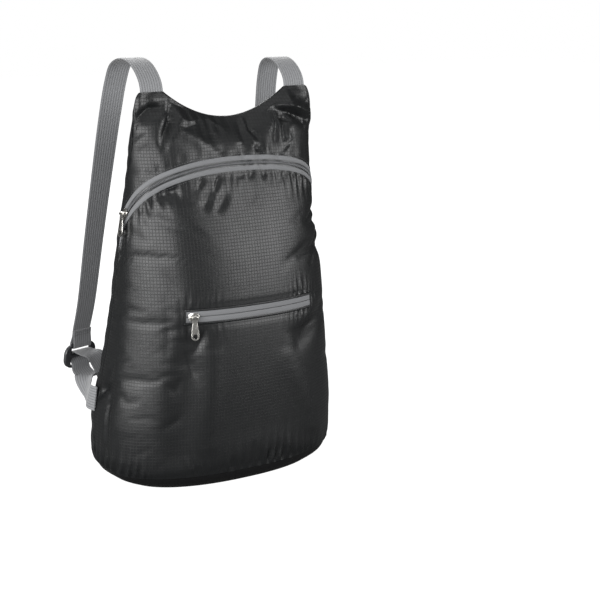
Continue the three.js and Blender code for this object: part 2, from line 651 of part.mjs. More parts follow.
// A strip of webbing along some stations, each with a centre and the direction of its width.
function webbing(stations) {
  const points = [];
  stations.forEach(({ centre, width }, k) => {
    const before = stations[Math.max(0, k - 1)].centre;
    const after = stations[Math.min(stations.length - 1, k + 1)].centre;
    const along = after.clone().sub(before).normalize();
    const across = width.clone().addScaledVector(along, -width.dot(along)).normalize();
    const normal = along.clone().cross(across).normalize();
    for (const [side, face] of [[-1, -1], [1, -1], [1, 1], [-1, 1]]) {
      points.push(...centre.clone()
        .addScaledVector(across, side * (WEBBING_WIDTH / 2))
        .addScaledVector(normal, face * (WEBBING_THICKNESS / 2)).toArray());
    }
  });
  const faces = [];
  for (let k = 0; k + 1 < stations.length; k += 1) {
    for (let c = 0; c < 4; c += 1) {
      const [a, b] = [4 * k + c, 4 * k + ((c + 1) % 4)];
      faces.push(a, b, b + 4, a, b + 4, a + 4);
    }
  }
  const last = 4 * (stations.length - 1);
  faces.push(0, 2, 1, 0, 3, 2, last, last + 1, last + 2, last, last + 2, last + 3);
  const geometry = new THREE.BufferGeometry();
  geometry.setAttribute('position', new THREE.Float32BufferAttribute(points, 3));
  geometry.setIndex(faces);
  return geometry;
}

// Evenly spaced stations on a smooth curve through some points, turning from one width to another.
function stationsOn(points, widths, count) {
  const curve = new THREE.CatmullRomCurve3(points, false, 'centripetal');
  const result = [];
  for (let k = 0; k <= count; k += 1) {
    const share = k / count;
    const place = share * (widths.length - 1);
    const low = Math.min(widths.length - 2, Math.floor(place));
    const width = widths[low].clone().lerp(widths[low + 1], place - low).normalize();
    result.push({ centre: curve.getPointAt(share), width });
  }
  return result;
}

// The adjuster's own frame on one side of the bag: across along its bars, down along the strap and
// behind, away from the bag.
function adjusterFrame(side) {
  const turn = rad(STRAP_TURN);
  const tilt = rad(ADJUSTER_TILT);
  const across = new THREE.Vector3(Math.cos(turn), -side * Math.sin(turn), 0);
  const level = new THREE.Vector3(side * Math.sin(turn), Math.cos(turn), 0);
  const down = level.clone().multiplyScalar(Math.sin(tilt)).add(new THREE.Vector3(0, 0, -Math.cos(tilt)));
  const behind = level.clone().multiplyScalar(Math.cos(tilt)).add(new THREE.Vector3(0, 0, Math.sin(tilt)));
  const centre = new THREE.Vector3(
    side * (STRAP_X + STRAP_SPREAD),
    NECK_Y + STRAP_SWING,
    ANCHOR_HEIGHT + WEBBING_WIDTH / 2 + ADJUSTER.height * 0.66,
  );
  return { across, down, behind, centre };
}

function inFrame(frame, out, away, drop) {
  return frame.centre.clone()
    .addScaledVector(frame.across, out)
    .addScaledVector(frame.behind, away)
    .addScaledVector(frame.down, drop);
}

const BAR_AT = (ADJUSTER.height - ADJUSTER.bar) / 2;
const WRAP = ADJUSTER.thickness / 2 + SEAM_GAP + WEBBING_THICKNESS / 2;
const BAR_WRAP = ADJUSTER.bar / 2 + SEAM_GAP + WEBBING_THICKNESS / 2;

// A strap: up from its ear, over, down to the adjuster, round its top bar and up again.
function upperStrap(side, swing, rise) {
  const frame = adjusterFrame(side);
  const root = new THREE.Vector3(side * STRAP_X, NECK_Y, BAG_HEIGHT + SEAM_GAP);
  const last = STRAP_ROUTE[STRAP_ROUTE.length - 1];
  const route = STRAP_ROUTE.map(({ out, back, up }) => new THREE.Vector3(
    side * (STRAP_X + out * STRAP_SPREAD),
    NECK_Y + back * STRAP_SWING * lerp(swing, 1, clamp((1 - up) / (1 - last.up), 0, 1)),
    BAG_HEIGHT * (1 + (up - 1) * (up > 1 ? rise : 1)),
  ));
  const level = new THREE.Vector3(1, 0, 0);
  const layer = (WEBBING_THICKNESS + SEAM_GAP) / 2;
  const opening = BAR_AT + 0.65 * STITCHED_TURN;
  const end = BAR_AT + STITCHED_TURN;
  const down = stationsOn(
    [root, ...route, inFrame(frame, 0, layer, -end)],
    [level, level, level.clone().lerp(frame.across, 0.55), frame.across],
    40,
  );
  const turnUp = [
    inFrame(frame, 0, layer, -opening),
    ...HALF_TURN.map(({ away, drop }) => inFrame(frame, 0, away * WRAP, drop * BAR_WRAP - BAR_AT)),
    inFrame(frame, 0, -layer, -opening),
    inFrame(frame, 0, -layer, -end),
  ].map((centre) => ({ centre, width: frame.across }));
  return webbing([...down, ...turnUp]);
}

// The lower band: from the side seam up to the adjuster, round its middle bar, and the free end.
function lowerBand(side) {
  const frame = adjusterFrame(side);
  const half = WEBBING_WIDTH / 2;
  const lift = WEBBING_THICKNESS / 2 + 3 * SEAM_GAP;
  const column = 180 - side * (180 - SEAM_COLUMN - 1);
  const onSide = (rise) => smoothPoint(column, ANCHOR_HEIGHT + rise)
    .addScaledVector(outward(column, ANCHOR_HEIGHT + rise), lift);
  const upright = onSide(-side * half).sub(onSide(side * half)).normalize();
  const turned = (twist) => upright.clone().lerp(frame.across, twist);
  const seam = onSide(0);
  const arriving = BAND_IN.map(({ away, drop }) => inFrame(frame, 0, away * WRAP, drop * BAR_AT));
  const hanging = BAND_ROUTE.map(({ along, out, drop }) => seam.clone().lerp(arriving[0], along)
    .add(new THREE.Vector3(side * out * WEBBING_WIDTH, 0, -drop * WEBBING_WIDTH)));
  const anchored = stationsOn(
    [...hanging, ...arriving],
    [...BAND_ROUTE, ...BAND_IN].map(({ twist }) => turned(twist)),
    18,
  );
  const through = BAND_THROUGH.map(({ away, drop }) => ({
    centre: inFrame(frame, 0, away * WRAP, drop * BAR_AT),
    width: frame.across,
  }));
  const room = frame.centre.y - BACK_DEPTH;
  const tail = stationsOn(
    TAIL_ROUTE.map(({ inwards, away, drop }) => (
      inFrame(frame, -side * inwards * WEBBING_WIDTH, -away * room, drop * ADJUSTER.height))),
    [frame.across, frame.across],
    9,
  );
  return webbing([...anchored, ...through, ...tail]);
}

// The adjuster: a flat buckle with three bars and two slots between its cheeks.
function adjusterGeometry() {
  const halfWide = WEBBING_WIDTH / 2 + 0.8 + ADJUSTER.cheek;
  const halfTall = ADJUSTER.height / 2;
  const outline = new THREE.Shape();
  const round = ADJUSTER.round;
  outline.moveTo(-halfWide + round, -halfTall);
  outline.lineTo(halfWide - round, -halfTall);
  outline.absarc(halfWide - round, -halfTall + round, round, -Math.PI / 2, 0, false);
  outline.absarc(halfWide - round, halfTall - round, round, 0, Math.PI / 2, false);
  outline.lineTo(-halfWide + round, halfTall);
  outline.absarc(-halfWide + round, halfTall - round, round, Math.PI / 2, Math.PI, false);
  outline.absarc(-halfWide + round, -halfTall + round, round, Math.PI, Math.PI * 1.5, false);
  outline.closePath();
  const slotHalf = WEBBING_WIDTH / 2 + 0.8;
  for (const side of [-1, 1]) {
    const near = side * (ADJUSTER.bar / 2);
    const far = side * (halfTall - ADJUSTER.bar);
    const [low, high] = [Math.min(near, far), Math.max(near, far)];
    const slot = new THREE.Path();
    slot.moveTo(-slotHalf, low);
    slot.lineTo(-slotHalf, high);
    slot.lineTo(slotHalf, high);
    slot.lineTo(slotHalf, low);
    slot.closePath();
    outline.holes.push(slot);
  }
  const plate = new THREE.ExtrudeGeometry(outline, {
    depth: ADJUSTER.thickness, bevelEnabled: false, curveSegments: 5,
  });
  plate.translate(0, 0, -ADJUSTER.thickness / 2);
  return joined([plate]);
}

// Materials
const finish = (color, roughness, metalness = 0) => new THREE.MeshStandardMaterial({ color, roughness, metalness });
const ripstop = finish(0x2e2f31, 0.55);
const ripstopBase = finish(0x1c1d1f, 0.6);
const tape = finish(0x7d7d7f, 0.8);
const coil = finish(0x68686b, 0.5);
const web = finish(0x808184, 0.85);
const plastic = finish(0x2b2b2e, 0.4);
const nickel = finish(0xc8c8ca, 0.25, 1);

const backpack = new THREE.Group();

function addPiece(name, geometry, material) {
  const mesh = new THREE.Mesh(geometry, material);
  mesh.name = name;
  backpack.add(mesh);
  return mesh;
}

// Puts a piece made in its own frame at a place, with its three directions.
function seat(mesh, place, x, y, z) {
  mesh.position.copy(place);
  mesh.quaternion.setFromRotationMatrix(new THREE.Matrix4().makeBasis(x, y, z));
}

addPiece('front_panel', frontPanel(), ripstop);
addPiece('yoke_panel', yokePanel(), ripstop);
addPiece('back_panel', backPanel(), ripstop);
addPiece('base_panel', basePanel(), ripstopBase);

const coilHalf = COIL_WIDTH / 2;
const tapeIn = coilHalf + SEAM_GAP;
const tapeOut = tapeIn + TAPE_WIDTH;
addPiece('main_zip_tape_upper', zipStrip(tapeIn, tapeOut, 0, -TAPE_THICKNESS), tape);
addPiece('main_zip_tape_lower', zipStrip(-tapeOut, -tapeIn, 0, -TAPE_THICKNESS), tape);
addPiece('main_zip_coil', zipStrip(-coilHalf, coilHalf, COIL_RISE, -TAPE_THICKNESS), coil);

addPiece('pocket_zip_welt', pocketWelt(), ripstop);
addPiece('pocket_zip_tape_upper', pocketTape(1), tape);
addPiece('pocket_zip_tape_lower', pocketTape(-1), tape);

// Each slider lies on its zip, and its puller hangs from the bar on it.
function addSlider(prefix, column, heightAt, rise) {
  const z = heightAt(column);
  const out = outward(column, z);
  const across = new THREE.Vector3(0, 0, 1).cross(out).normalize();
  const up = out.clone().cross(across).normalize();
  const bar = clothPoint(column, z, rise + SEAM_GAP + BAR_RISE);
  const next = column + COLUMN_STEP / 2;
  const run = smoothPoint(next, heightAt(next)).sub(smoothPoint(column, z));
  const turn = Math.atan2(run.dot(up), run.dot(across));
  seat(addPiece(`${prefix}_slider`, sliderGeometry(turn), nickel), bar, across, up, out);
  seat(addPiece(`${prefix}_puller`, pullerGeometry(), nickel), bar, across, up, out);
}

addSlider('main_zip', ZIP_SLIDER_AT, zipHeight, COIL_RISE);
const pocketSliderAt = columnAt(-(POCKET_SPAN / 2 - POCKET_SLIDER_IN), POCKET_HEIGHT);
addSlider('pocket_zip', pocketSliderAt, () => POCKET_HEIGHT, 0);

// The two straps. The right one loops a little lower and closer to the bag.
const STRAPS = [
  { name: 'left', side: -1, swing: 1, rise: 1 },
  { name: 'right', side: 1, swing: 0.82, rise: 0.88 },
];
for (const { name, side, swing, rise } of STRAPS) {
  addPiece(`strap_${name}`, upperStrap(side, swing, rise), web);
  addPiece(`lower_band_${name}`, lowerBand(side), web);
  const { across, down, behind, centre } = adjusterFrame(side);
  const up = down.clone().negate();
  seat(addPiece(`adjuster_${name}`, adjusterGeometry(), plastic), centre, across, up, behind.clone().negate());
}

export default backpack;
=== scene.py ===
"""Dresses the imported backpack: ripstop nylon, webbing straps, zips, plastic adjusters and metal."""

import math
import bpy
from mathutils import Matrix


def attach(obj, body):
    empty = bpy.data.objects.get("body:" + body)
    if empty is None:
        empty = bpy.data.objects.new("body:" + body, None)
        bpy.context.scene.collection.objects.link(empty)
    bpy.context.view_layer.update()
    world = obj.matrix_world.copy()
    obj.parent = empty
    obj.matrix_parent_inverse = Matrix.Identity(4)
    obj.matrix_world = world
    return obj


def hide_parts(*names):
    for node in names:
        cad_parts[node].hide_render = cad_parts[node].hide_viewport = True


bl_info = {
    "name": "Packable backpack",
    "version": (1, 0, 0),
    "blender": (4, 5, 0),
    "location": "3D View > Sidebar > Backpack",
    "description": "Models a standing ripstop backpack over its solids",
    "category": "Add Mesh",
}

import bpy
import numpy as np
from bpy.props import FloatProperty, FloatVectorProperty, IntProperty, PointerProperty
from bpy.types import Operator, Panel, PropertyGroup
from mathutils import Vector

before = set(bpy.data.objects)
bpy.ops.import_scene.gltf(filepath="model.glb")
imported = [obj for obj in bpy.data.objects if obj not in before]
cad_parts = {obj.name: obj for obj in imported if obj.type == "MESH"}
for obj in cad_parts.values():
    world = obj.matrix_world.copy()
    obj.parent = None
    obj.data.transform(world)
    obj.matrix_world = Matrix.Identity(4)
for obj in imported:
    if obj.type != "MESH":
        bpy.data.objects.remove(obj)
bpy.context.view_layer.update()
MM = 0.001

# Sizes of the bag in millimetres, the same as its solids have
BAG_WIDTH = 262
BAG_HEIGHT = 395
BELLY_DEPTH = 72
BACK_DEPTH = 62
CLOTH = 1.2
SEAM_GAP = 0.3
BASE_SEAM = 13
NECK_DROP = 27
EAR_SHOULDER = 8
EAR_DROP = 26
FOLD_DEPTH = 6
ZIP_TOP = 323
ZIP_SAG = 64
ZIP_BEND = 2.35
TAPE_WIDTH = 4.8
COIL_WIDTH = 3.8
POCKET_SPAN = 152
POCKET_HEIGHT = 178
WINDOW_HEIGHT = 16
WELT_WIDTH = 2.3
WEBBING_WIDTH = 25
WEBBING_THICKNESS = 1.4
STRAP_SWING = 116
STRAP_SPREAD = 29
STRAP_TURN = 17
ANCHOR_HEIGHT = 84
ADJUSTER_HEIGHT = 26
ADJUSTER_THICKNESS = 3.6
ADJUSTER_BAR = 3
ADJUSTER_TILT = 10
STITCHED_TURN = 17
SEAM_COLUMN = 100
FRONT_STRAIGHT = 60
BACK_STRAIGHT = 130

SECTION_COLUMNS = ("up", "half", "slump", "front", "back", "lean", "front_power", "back_power", "seam")
SECTIONS = (
    (0.000, 0.810, -0.024, 0.800, 0.78, 0.000, 2.3, 3.8, 112),
    (0.014, 0.905, -0.024, 0.880, 0.88, 0.000, 2.3, 4.4, 113),
    (0.036, 0.962, -0.024, 0.930, 0.95, 0.000, 2.3, 5.0, 114),
    (0.075, 0.996, -0.024, 0.960, 1.00, 0.000, 2.3, 5.6, 115),
    (0.160, 1.000, -0.022, 0.980, 1.00, 0.000, 2.3, 5.2, 115),
    (0.300, 0.950, -0.012, 1.000, 0.94, 0.000, 2.3, 4.0, 112),
    (0.450, 0.905, -0.004, 0.990, 0.80, 0.000, 2.3, 3.3, 106),
    (0.600, 0.870, 0.000, 0.930, 0.65, 0.000, 2.2, 2.9, 101),
    (0.700, 0.836, 0.000, 0.840, 0.53, 0.010, 2.2, 2.7, 99),
    (0.780, 0.809, 0.000, 0.730, 0.42, 0.040, 2.2, 2.6, 98),
    (0.880, 0.798, 0.000, 0.590, 0.22, 0.110, 2.1, 2.4, 96),
    (0.950, 0.794, 0.000, 0.430, 0.00, 0.180, 2.0, 2.1, 92),
    (1.000, 0.794, 0.000, 0.235, -0.25, 0.225, 2.0, 2.0, 90),
)

FOLD_COLUMNS = ("from_round", "from_up", "to_round", "to_up", "reach", "depth")
FOLDS = (
    (-41, 0.975, -74, 0.935, 0.030, 0.55),
    (-39, 0.955, -49, 0.880, 0.026, 0.60),
    (-36, 0.930, -18, 0.915, 0.034, -0.45),
    (2, 0.910, 7, 0.855, 0.022, 0.40),
    (13, 0.900, 15, 0.845, 0.024, 0.30),
    (36, 0.935, 34, 0.895, 0.024, 0.65),
    (36, 0.942, 56, 0.905, 0.024, 0.60),
    (40, 0.955, 80, 0.925, 0.024, -0.45),
    (27, 0.920, 26, 0.860, 0.024, 0.35),
    (-57, 0.755, -42, 0.762, 0.034, 0.55),
    (-21, 0.790, -25, 0.750, 0.022, 0.40),
    (-12, 0.790, -17, 0.755, 0.022, 0.40),
    (66, 0.690, 84, 0.600, 0.050, 0.80),
    (57, 0.600, 84, 0.520, 0.038, 0.50),
    (50, 0.412, 27, 0.365, 0.040, 0.70),
    (-34, 0.410, -36, 0.100, 0.070, 0.70),
    (-22, 0.360, -22, 0.120, 0.040, -0.30),
    (-112, 0.250, -92, 0.310, 0.034, 0.60),
    (112, 0.250, 92, 0.310, 0.034, 0.60),
    (-90, 0.240, -92, 0.090, 0.034, 0.50),
    (20, 0.330, 40, 0.090, 0.060, -0.45),
    (150, 0.700, 205, 0.560, 0.060, 0.70),
    (205, 0.420, 160, 0.300, 0.060, 0.60),
    (180, 0.900, 176, 0.780, 0.040, 0.45),
)


def section_curve(name):
    """One column of SECTIONS as a smooth function of the share of the height."""
    ups = np.array([row[0] for row in SECTIONS])
    values = np.array([row[SECTION_COLUMNS.index(name)] for row in SECTIONS])
    spans = np.diff(ups)
    slopes = np.diff(values) / spans

    def limited(slope, middle):
        if slope * middle <= 0:
            return 0.0
        return math.copysign(min(abs(slope), 3 * abs(middle)), slope)

    last = len(slopes) - 1
    starts = np.array([m if k == 0 else limited((slopes[k - 1] + m) / 2, m) for k, m in enumerate(slopes)])
    ends = np.array([m if k == last else limited((m + slopes[k + 1]) / 2, m) for k, m in enumerate(slopes)])

    def curve(up):
        k = np.clip(np.searchsorted(ups, up, side="left") - 1, 0, last)
        s = np.clip((up - ups[k]) / spans[k], 0, 1)
        low = values[k] * (2 * s**3 - 3 * s**2 + 1) + values[k + 1] * (3 * s**2 - 2 * s**3)
        return low + spans[k] * (starts[k] * (s**3 - 2 * s**2 + s) + ends[k] * (s**3 - s**2))

    return curve


SECTION = {name: section_curve(name) for name in SECTION_COLUMNS[1:]}
TOP_HALF = BAG_WIDTH / 2 * SECTIONS[-1][1]
STRAP_X = TOP_HALF - EAR_SHOULDER - WEBBING_WIDTH / 2
EAR_IN = STRAP_X - WEBBING_WIDTH / 2
EAR_OUT = STRAP_X + WEBBING_WIDTH / 2
NECK_Y = -BELLY_DEPTH * SECTIONS[-1][5]


def neckline(x):
    """Height of the neckline seam: a dip between two flat-topped ears."""
    out = np.abs(x)
    dip = BAG_HEIGHT - NECK_DROP * (1 - (out / EAR_IN) ** 2)
    turn = np.clip((out - EAR_OUT) / (TOP_HALF - EAR_OUT), 0, 1)
    ear = BAG_HEIGHT - EAR_DROP * (1 - np.sqrt(1 - turn**2))
    return np.where(out < EAR_IN, dip, ear)


def column_angle(column, up):
    """Where a column of the cloth stands round the bag, in degrees from the middle of the front."""
    turned = np.where(column > 180, column - 360, column)
    out = np.abs(turned)
    seam = SECTION["seam"](up)
    front = FRONT_STRAIGHT + (seam - FRONT_STRAIGHT) * (out - FRONT_STRAIGHT) / (SEAM_COLUMN - FRONT_STRAIGHT)
    back = seam + (BACK_STRAIGHT - seam) * (out - SEAM_COLUMN) / (BACK_STRAIGHT - SEAM_COLUMN)
    angle = np.where((out > FRONT_STRAIGHT) & (out <= SEAM_COLUMN), front, out)
    angle = np.where((out > SEAM_COLUMN) & (out < BACK_STRAIGHT), back, angle)
    return np.where((column < 0) | (column > 180), -angle, angle)


def section_point(angle, up):
    sine = np.sin(np.radians(angle))
    cosine = np.cos(np.radians(angle))
    power = np.where(cosine >= 0, SECTION["front_power"](up), SECTION["back_power"](up))
    reach = (np.abs(sine) ** power + np.abs(cosine) ** power) ** (-1 / power)
    lean = -BELLY_DEPTH * SECTION["lean"](up)
    front = -BELLY_DEPTH * SECTION["front"](up) - lean
    back = BACK_DEPTH * SECTION["back"](up) - lean
    x = BAG_WIDTH / 2 * (SECTION["half"](up) * reach * sine + SECTION["slump"](up))
    return x, lean + reach * np.where(cosine >= 0, front * cosine, -back * cosine)


def column_top(column):
    x, _ = section_point(column_angle(column, np.ones_like(column)), np.ones_like(column))
    return neckline(x)


def fold_depth(angle, up):
    """Depth of the main folds, the same as the solids have."""
    round_mm = BAG_WIDTH / 2 * math.radians(1)
    depth = np.zeros_like(angle)
    for from_round, from_up, to_round, to_up, reach, share in FOLDS:
        away = angle - from_round
        px = (away - 360 * np.round(away / 360)) * round_mm
        py = (up - from_up) * BAG_HEIGHT
        lx = (to_round - from_round) * round_mm
        ly = (to_up - from_up) * BAG_HEIGHT
        along = np.clip((px * lx + py * ly) / (lx**2 + ly**2), 0, 1)
        off = np.hypot(px - along * lx, py - along * ly) / (reach * BAG_WIDTH)
        swell = 0.35 + 0.65 * np.sin(np.pi * np.clip(0.15 + 0.7 * along, 0, 1))
        depth += share * swell * np.exp(-(off**2))
    fade = np.clip((1 - up) / 0.04, 0, 1) * np.clip((up * BAG_HEIGHT - BASE_SEAM) / (2 * BASE_SEAM), 0, 1)
    return FOLD_DEPTH * depth * fade


def closing(up):
    share = np.clip((up - 0.84) / 0.13, 0, 1)
    return share**2 * (3 - 2 * share)


def is_front(column):
    return np.abs(np.where(column > 180, column - 360, column)) <= SEAM_COLUMN


def same_side(column, step):
    low = np.where(is_front(column), -SEAM_COLUMN, SEAM_COLUMN + 1e-6)
    high = np.where(is_front(column), SEAM_COLUMN, 360 - SEAM_COLUMN - 1e-6)
    return np.clip(column + step, low, high)


def smooth_point(column, z):
    """The outer face of the cloth without its folds."""
    column, z = np.broadcast_arrays(np.asarray(column, float), np.asarray(z, float))
    up = np.clip(z / column_top(column), 0, 1)
    x, y = section_point(column_angle(column, up), up)
    share = closing(up)
    apart = SEAM_GAP * np.minimum(1, 5 * share) + CLOTH * share / np.hypot(share, 1 - share)
    return np.stack([x, np.where(is_front(column), y - apart, y + apart), z], -1)


def unit(vector):
    return vector / np.maximum(np.linalg.norm(vector, axis=-1, keepdims=True), 1e-12)


def outward(column, z):
    column, z = np.broadcast_arrays(np.asarray(column, float), np.asarray(z, float))
    step = 1.5
    low = np.maximum(z - step, 0)
    high = np.minimum(z + step, column_top(column) - SEAM_GAP)
    across = smooth_point(same_side(column, step), z) - smooth_point(same_side(column, -step), z)
    rise = smooth_point(column, high) - smooth_point(column, low)
    share = closing(z / column_top(column))[..., None]
    flat = np.stack([np.zeros_like(z), np.where(is_front(column), -1.0, 1.0), np.zeros_like(z)], -1)
    return unit(unit(np.cross(across, rise)) * (1 - share) + flat * share)


def cloth_point(column, z, lift=0.0):
    """A point of the cloth, lifted off its outer face."""
    column, z = np.broadcast_arrays(np.asarray(column, float), np.asarray(z, float))
    up = np.clip(z / column_top(column), 0, 1)
    inwards = fold_depth(column_angle(column, up), up)
    return smooth_point(column, z) + outward(column, z) * (lift - inwards)[..., None]


def column_at(x, z):
    """Column at a distance from the middle of the front, at one height."""
    low, high = 0.0, 90.0
    for _ in range(40):
        middle = (low + high) / 2
        if abs(smooth_point(math.copysign(middle, x), z)[0]) < abs(x):
            low = middle
        else:
            high = middle
    return math.copysign(low, x)


def zip_height(column):
    return ZIP_TOP - ZIP_SAG * np.minimum(1, np.abs(column) / SEAM_COLUMN) ** ZIP_BEND


def beside_zip(column, offset):
    near = np.maximum(-SEAM_COLUMN, column - 6)
    far = np.minimum(SEAM_COLUMN, column + 6)
    run = smooth_point(far, zip_height(far)) - smooth_point(near, zip_height(near))
    slope = run[..., 2] / np.hypot(run[..., 0], run[..., 1])
    return zip_height(column) + offset * np.sqrt(1 + slope**2)


ZIP_EDGE = COIL_WIDTH / 2 + SEAM_GAP + TAPE_WIDTH + SEAM_GAP
POCKET_COLUMN = column_at(POCKET_SPAN / 2, POCKET_HEIGHT)
POCKET_LOW = POCKET_HEIGHT - WINDOW_HEIGHT / 2
POCKET_HIGH = POCKET_HEIGHT + WINDOW_HEIGHT / 2

# Creases of the front and the yoke as the cloth lies, in millimetres: around from the middle of the
# front, up from the floor. Each runs from one place through another to a third. reach is its half
# width and depth goes inwards, so a ridge is below zero.
CREASE_COLUMNS = ("from_around", "from_up", "by_around", "by_up", "to_around", "to_up", "reach", "depth")
CREASES = (
    (-70, 391, -58, 384, -49, 380, 7.0, 3.4),
    (-106, 369, -92, 380, -71, 376, 4.5, 3.4),
    (-70, 378, -72, 366, -81, 352, 4.0, 4.6),
    (-66, 372, -51, 366, -33, 368, 4.5, -2.6),
    (-64, 363, -55, 360, -41, 364, 5.0, 2.0),
    (-28, 368, -20, 364, -11, 357, 2.6, -1.6),
    (11, 364, 9, 352, 11, 338, 3.2, 2.2),
    (16, 366, 16, 354, 21, 342, 3.0, -1.2),
    (21, 365, 20, 354, 28, 344, 2.8, 3.4),
    (22, 339, 24, 335, 25, 332, 2.4, 2.0),
    (40, 370, 52, 376, 65, 382, 2.6, -1.8),
    (58, 372, 71, 369, 98, 360, 3.2, 4.2),
    (60, 377, 80, 375, 104, 367, 3.4, -2.8),
    (58, 371, 60, 364, 71, 360, 2.8, 3.4),
    (61, 376, 74, 381, 85, 384, 3.0, -2.6),
    (54, 370, 52, 357, 47, 342, 2.6, 2.6),
    (64, 360, 62, 350, 66, 341, 2.6, -1.4),
    (101, 361, 95, 358, 88, 356, 2.6, 2.4),
    (55, 332, 60, 336, 66, 340, 2.0, 1.6),
    (92, 372, 98, 376, 103, 380, 3.0, 2.0),
    (-40, 317, -46, 310, -50, 302, 2.0, 2.6),
    (-22, 316, -28, 308, -33, 299, 2.0, 2.6),
    (-63, 314, -66, 311, -68, 309, 2.0, 1.8),
    (-89, 300, -78, 302, -71, 306, 4.0, 2.6),
    (1, 315, 0, 312, -2, 310, 1.8, 1.6),
    (12, 315, 11, 311, 9, 307, 1.8, 1.2),
    (30, 314, 28, 311, 26, 308, 1.8, 1.6),
    (50, 312, 49, 308, 46, 303, 2.0, 1.2),
    (130, 252, 105, 256, 84, 254, 5.0, 4.0),
    (128, 230, 90, 232, 62, 225, 3.6, 2.8),
    (125, 272, 98, 266, 76, 258, 3.6, 3.0),
    (81, 216, 99, 236, 122, 250, 3.8, 3.0),
    (39, 222, 63, 231, 88, 242, 6.0, 1.6),
    (110, 152, 72, 150, 46, 149, 7.0, 2.4),
    (44, 184, 67, 185, 95, 184, 3.0, 1.8),
    (-95, 196, -93, 166, -96, 136, 8.0, 1.4),
    (-98, 225, -89, 210, -81, 196, 8.0, 1.0),
    (-57, 164, -62, 150, -67, 143, 4.0, 2.4),
    (-190, 91, -175, 99, -153, 108, 5.0, 3.0),
    (-176, 77, -167, 84, -158, 89, 5.0, 2.0),
    (-97, 112, -87, 104, -82, 116, 5.0, 1.4),
    (-97, 66, -90, 70, -82, 76, 5.0, 1.2),
    (-77, 144, -72, 128, -66, 115, 7.0, 2.0),
)

# Route of a strap from its ear down to the adjuster, as shares of its spread, its swing and the height
STRAP_ROUTE = (
    (0.00, 0.015, 1.018),
    (0.00, 0.090, 1.047),
    (0.00, 0.220, 1.071),
    (0.03, 0.370, 1.077),
    (0.08, 0.500, 1.060),
    (0.12, 0.575, 1.020),
    (0.22, 0.655, 0.930),
    (0.40, 0.735, 0.790),
    (0.62, 0.830, 0.610),
    (0.83, 0.920, 0.430),
)

# A strap turning round a bar, and the lower band's way to, through and out of the adjuster
HALF_TURN = ((1.0, -0.85), (1.0, 0.0), (0.9, 0.9), (0.0, 1.0), (-0.9, 0.9), (-1.0, 0.0), (-1.0, -0.85))
BAND_ROUTE = (
    (0.00, 0.00, 0.00, 0.00),
    (0.20, 0.21, 0.06, 0.00),
    (0.42, 0.12, 0.06, 0.06),
    (0.70, 0.04, 0.06, 0.20),
)
BAND_IN = ((-4.20, 1.66, 0.50), (-1.80, 1.36, 0.90), (-1.07, 1.00, 1.00))
BAND_THROUGH = (
    (-1.07, 0.85), (-0.80, 0.69), (-0.07, 0.50), (0.50, 0.38), (1.00, 0.22), (1.07, 0.00),
    (1.00, -0.22), (0.50, -0.38), (0.00, -0.45), (-0.90, -0.49),
)
TAIL_ROUTE = (
    (0.00, 0.19, -0.22),
    (0.20, 0.46, -0.13),
    (0.48, 0.66, 0.36),
    (0.64, 0.76, 0.88),
    (0.68, 0.78, 1.28),
)
STRAPS = (("left", -1, 1.0, 1.0), ("right", 1, 0.82, 0.88))


def linear(hex_colour):
    """A linear colour with alpha from an sRGB hex value."""
    parts = [int(hex_colour[k : k + 2], 16) / 255 for k in (1, 3, 5)]
    return tuple(c / 12.92 if c <= 0.04045 else ((c + 0.055) / 1.055) ** 2.4 for c in parts) + (1.0,)


def colour_setting(name, what, value):
    return FloatVectorProperty(
        name=name, description=f"Colour of {what}", subtype="COLOR", size=4, min=0, max=1, default=linear(value)
    )


def length_setting(name, description, value):
    return FloatProperty(name=name, description=description, unit="LENGTH", min=0.0001, default=value * MM)


def share_setting(name, description, value):
    return FloatProperty(name=name, description=description, subtype="FACTOR", min=0, max=1, default=value)


def light_setting(name, where, watts):
    description = f"Power of the soft light {where}"
    return FloatProperty(name=name, description=description, subtype="POWER", min=0, default=watts)


class ClothSettings(PropertyGroup):
    colour: colour_setting("Ripstop", "the ripstop nylon", "#121314")
    rib_colour: colour_setting("Ripstop yarn", "the thick yarns of the grid", "#090a0a")
    rib_pitch: length_setting("Grid spacing", "Spacing of the thick yarns", 3.3)
    rib_width: length_setting("Yarn width", "Width of a thick yarn", 0.85)
    wall: length_setting("Wall", "Thickness of the cloth with its coating", 0.7)
    wrinkles: share_setting("Wrinkles", "Share of the settled wrinkles that is kept", 0.25)


class WebbingSettings(PropertyGroup):
    colour: colour_setting("Webbing", "the straps", "#6e6f71")
    ribs: IntProperty(name="Ribs", description="Ribs woven along the webbing", min=1, default=9)
    rib_height: length_setting("Rib height", "Height of a woven rib", 0.22)


class ZipSettings(PropertyGroup):
    tape_colour: colour_setting("Tape", "the zip tapes", "#5c5d5f")
    coil_colour: colour_setting("Coil", "the nylon coils", "#4a4b4d")
    pitch: length_setting("Coil pitch", "Spacing of the coils", 1.3)
    stitch: length_setting("Stitch", "Length of a stitch with its gap", 2.8)


class StageSettings(PropertyGroup):
    floor_colour: colour_setting("Floor", "the light that the floor reflects", "#5c5c5c")
    left_light: light_setting("Left light", "on the left", 78)
    side_light: light_setting("Side light", "beside it", 40)
    right_light: light_setting("Right light", "on the right", 56)
    top_light: light_setting("Top light", "overhead", 14)
    back_light: light_setting("Back light", "behind", 60)
    fill: share_setting("Fill", "Brightness of the walls of the studio", 0.08)


# Modelling helpers
def start_clean():
    if bpy.context.object and bpy.context.object.mode != "OBJECT":
        bpy.ops.object.mode_set(mode="OBJECT")
    bpy.ops.object.select_all(action="DESELECT")


def select_only(piece):
    start_clean()
    piece.select_set(True)
    bpy.context.view_layer.objects.active = piece


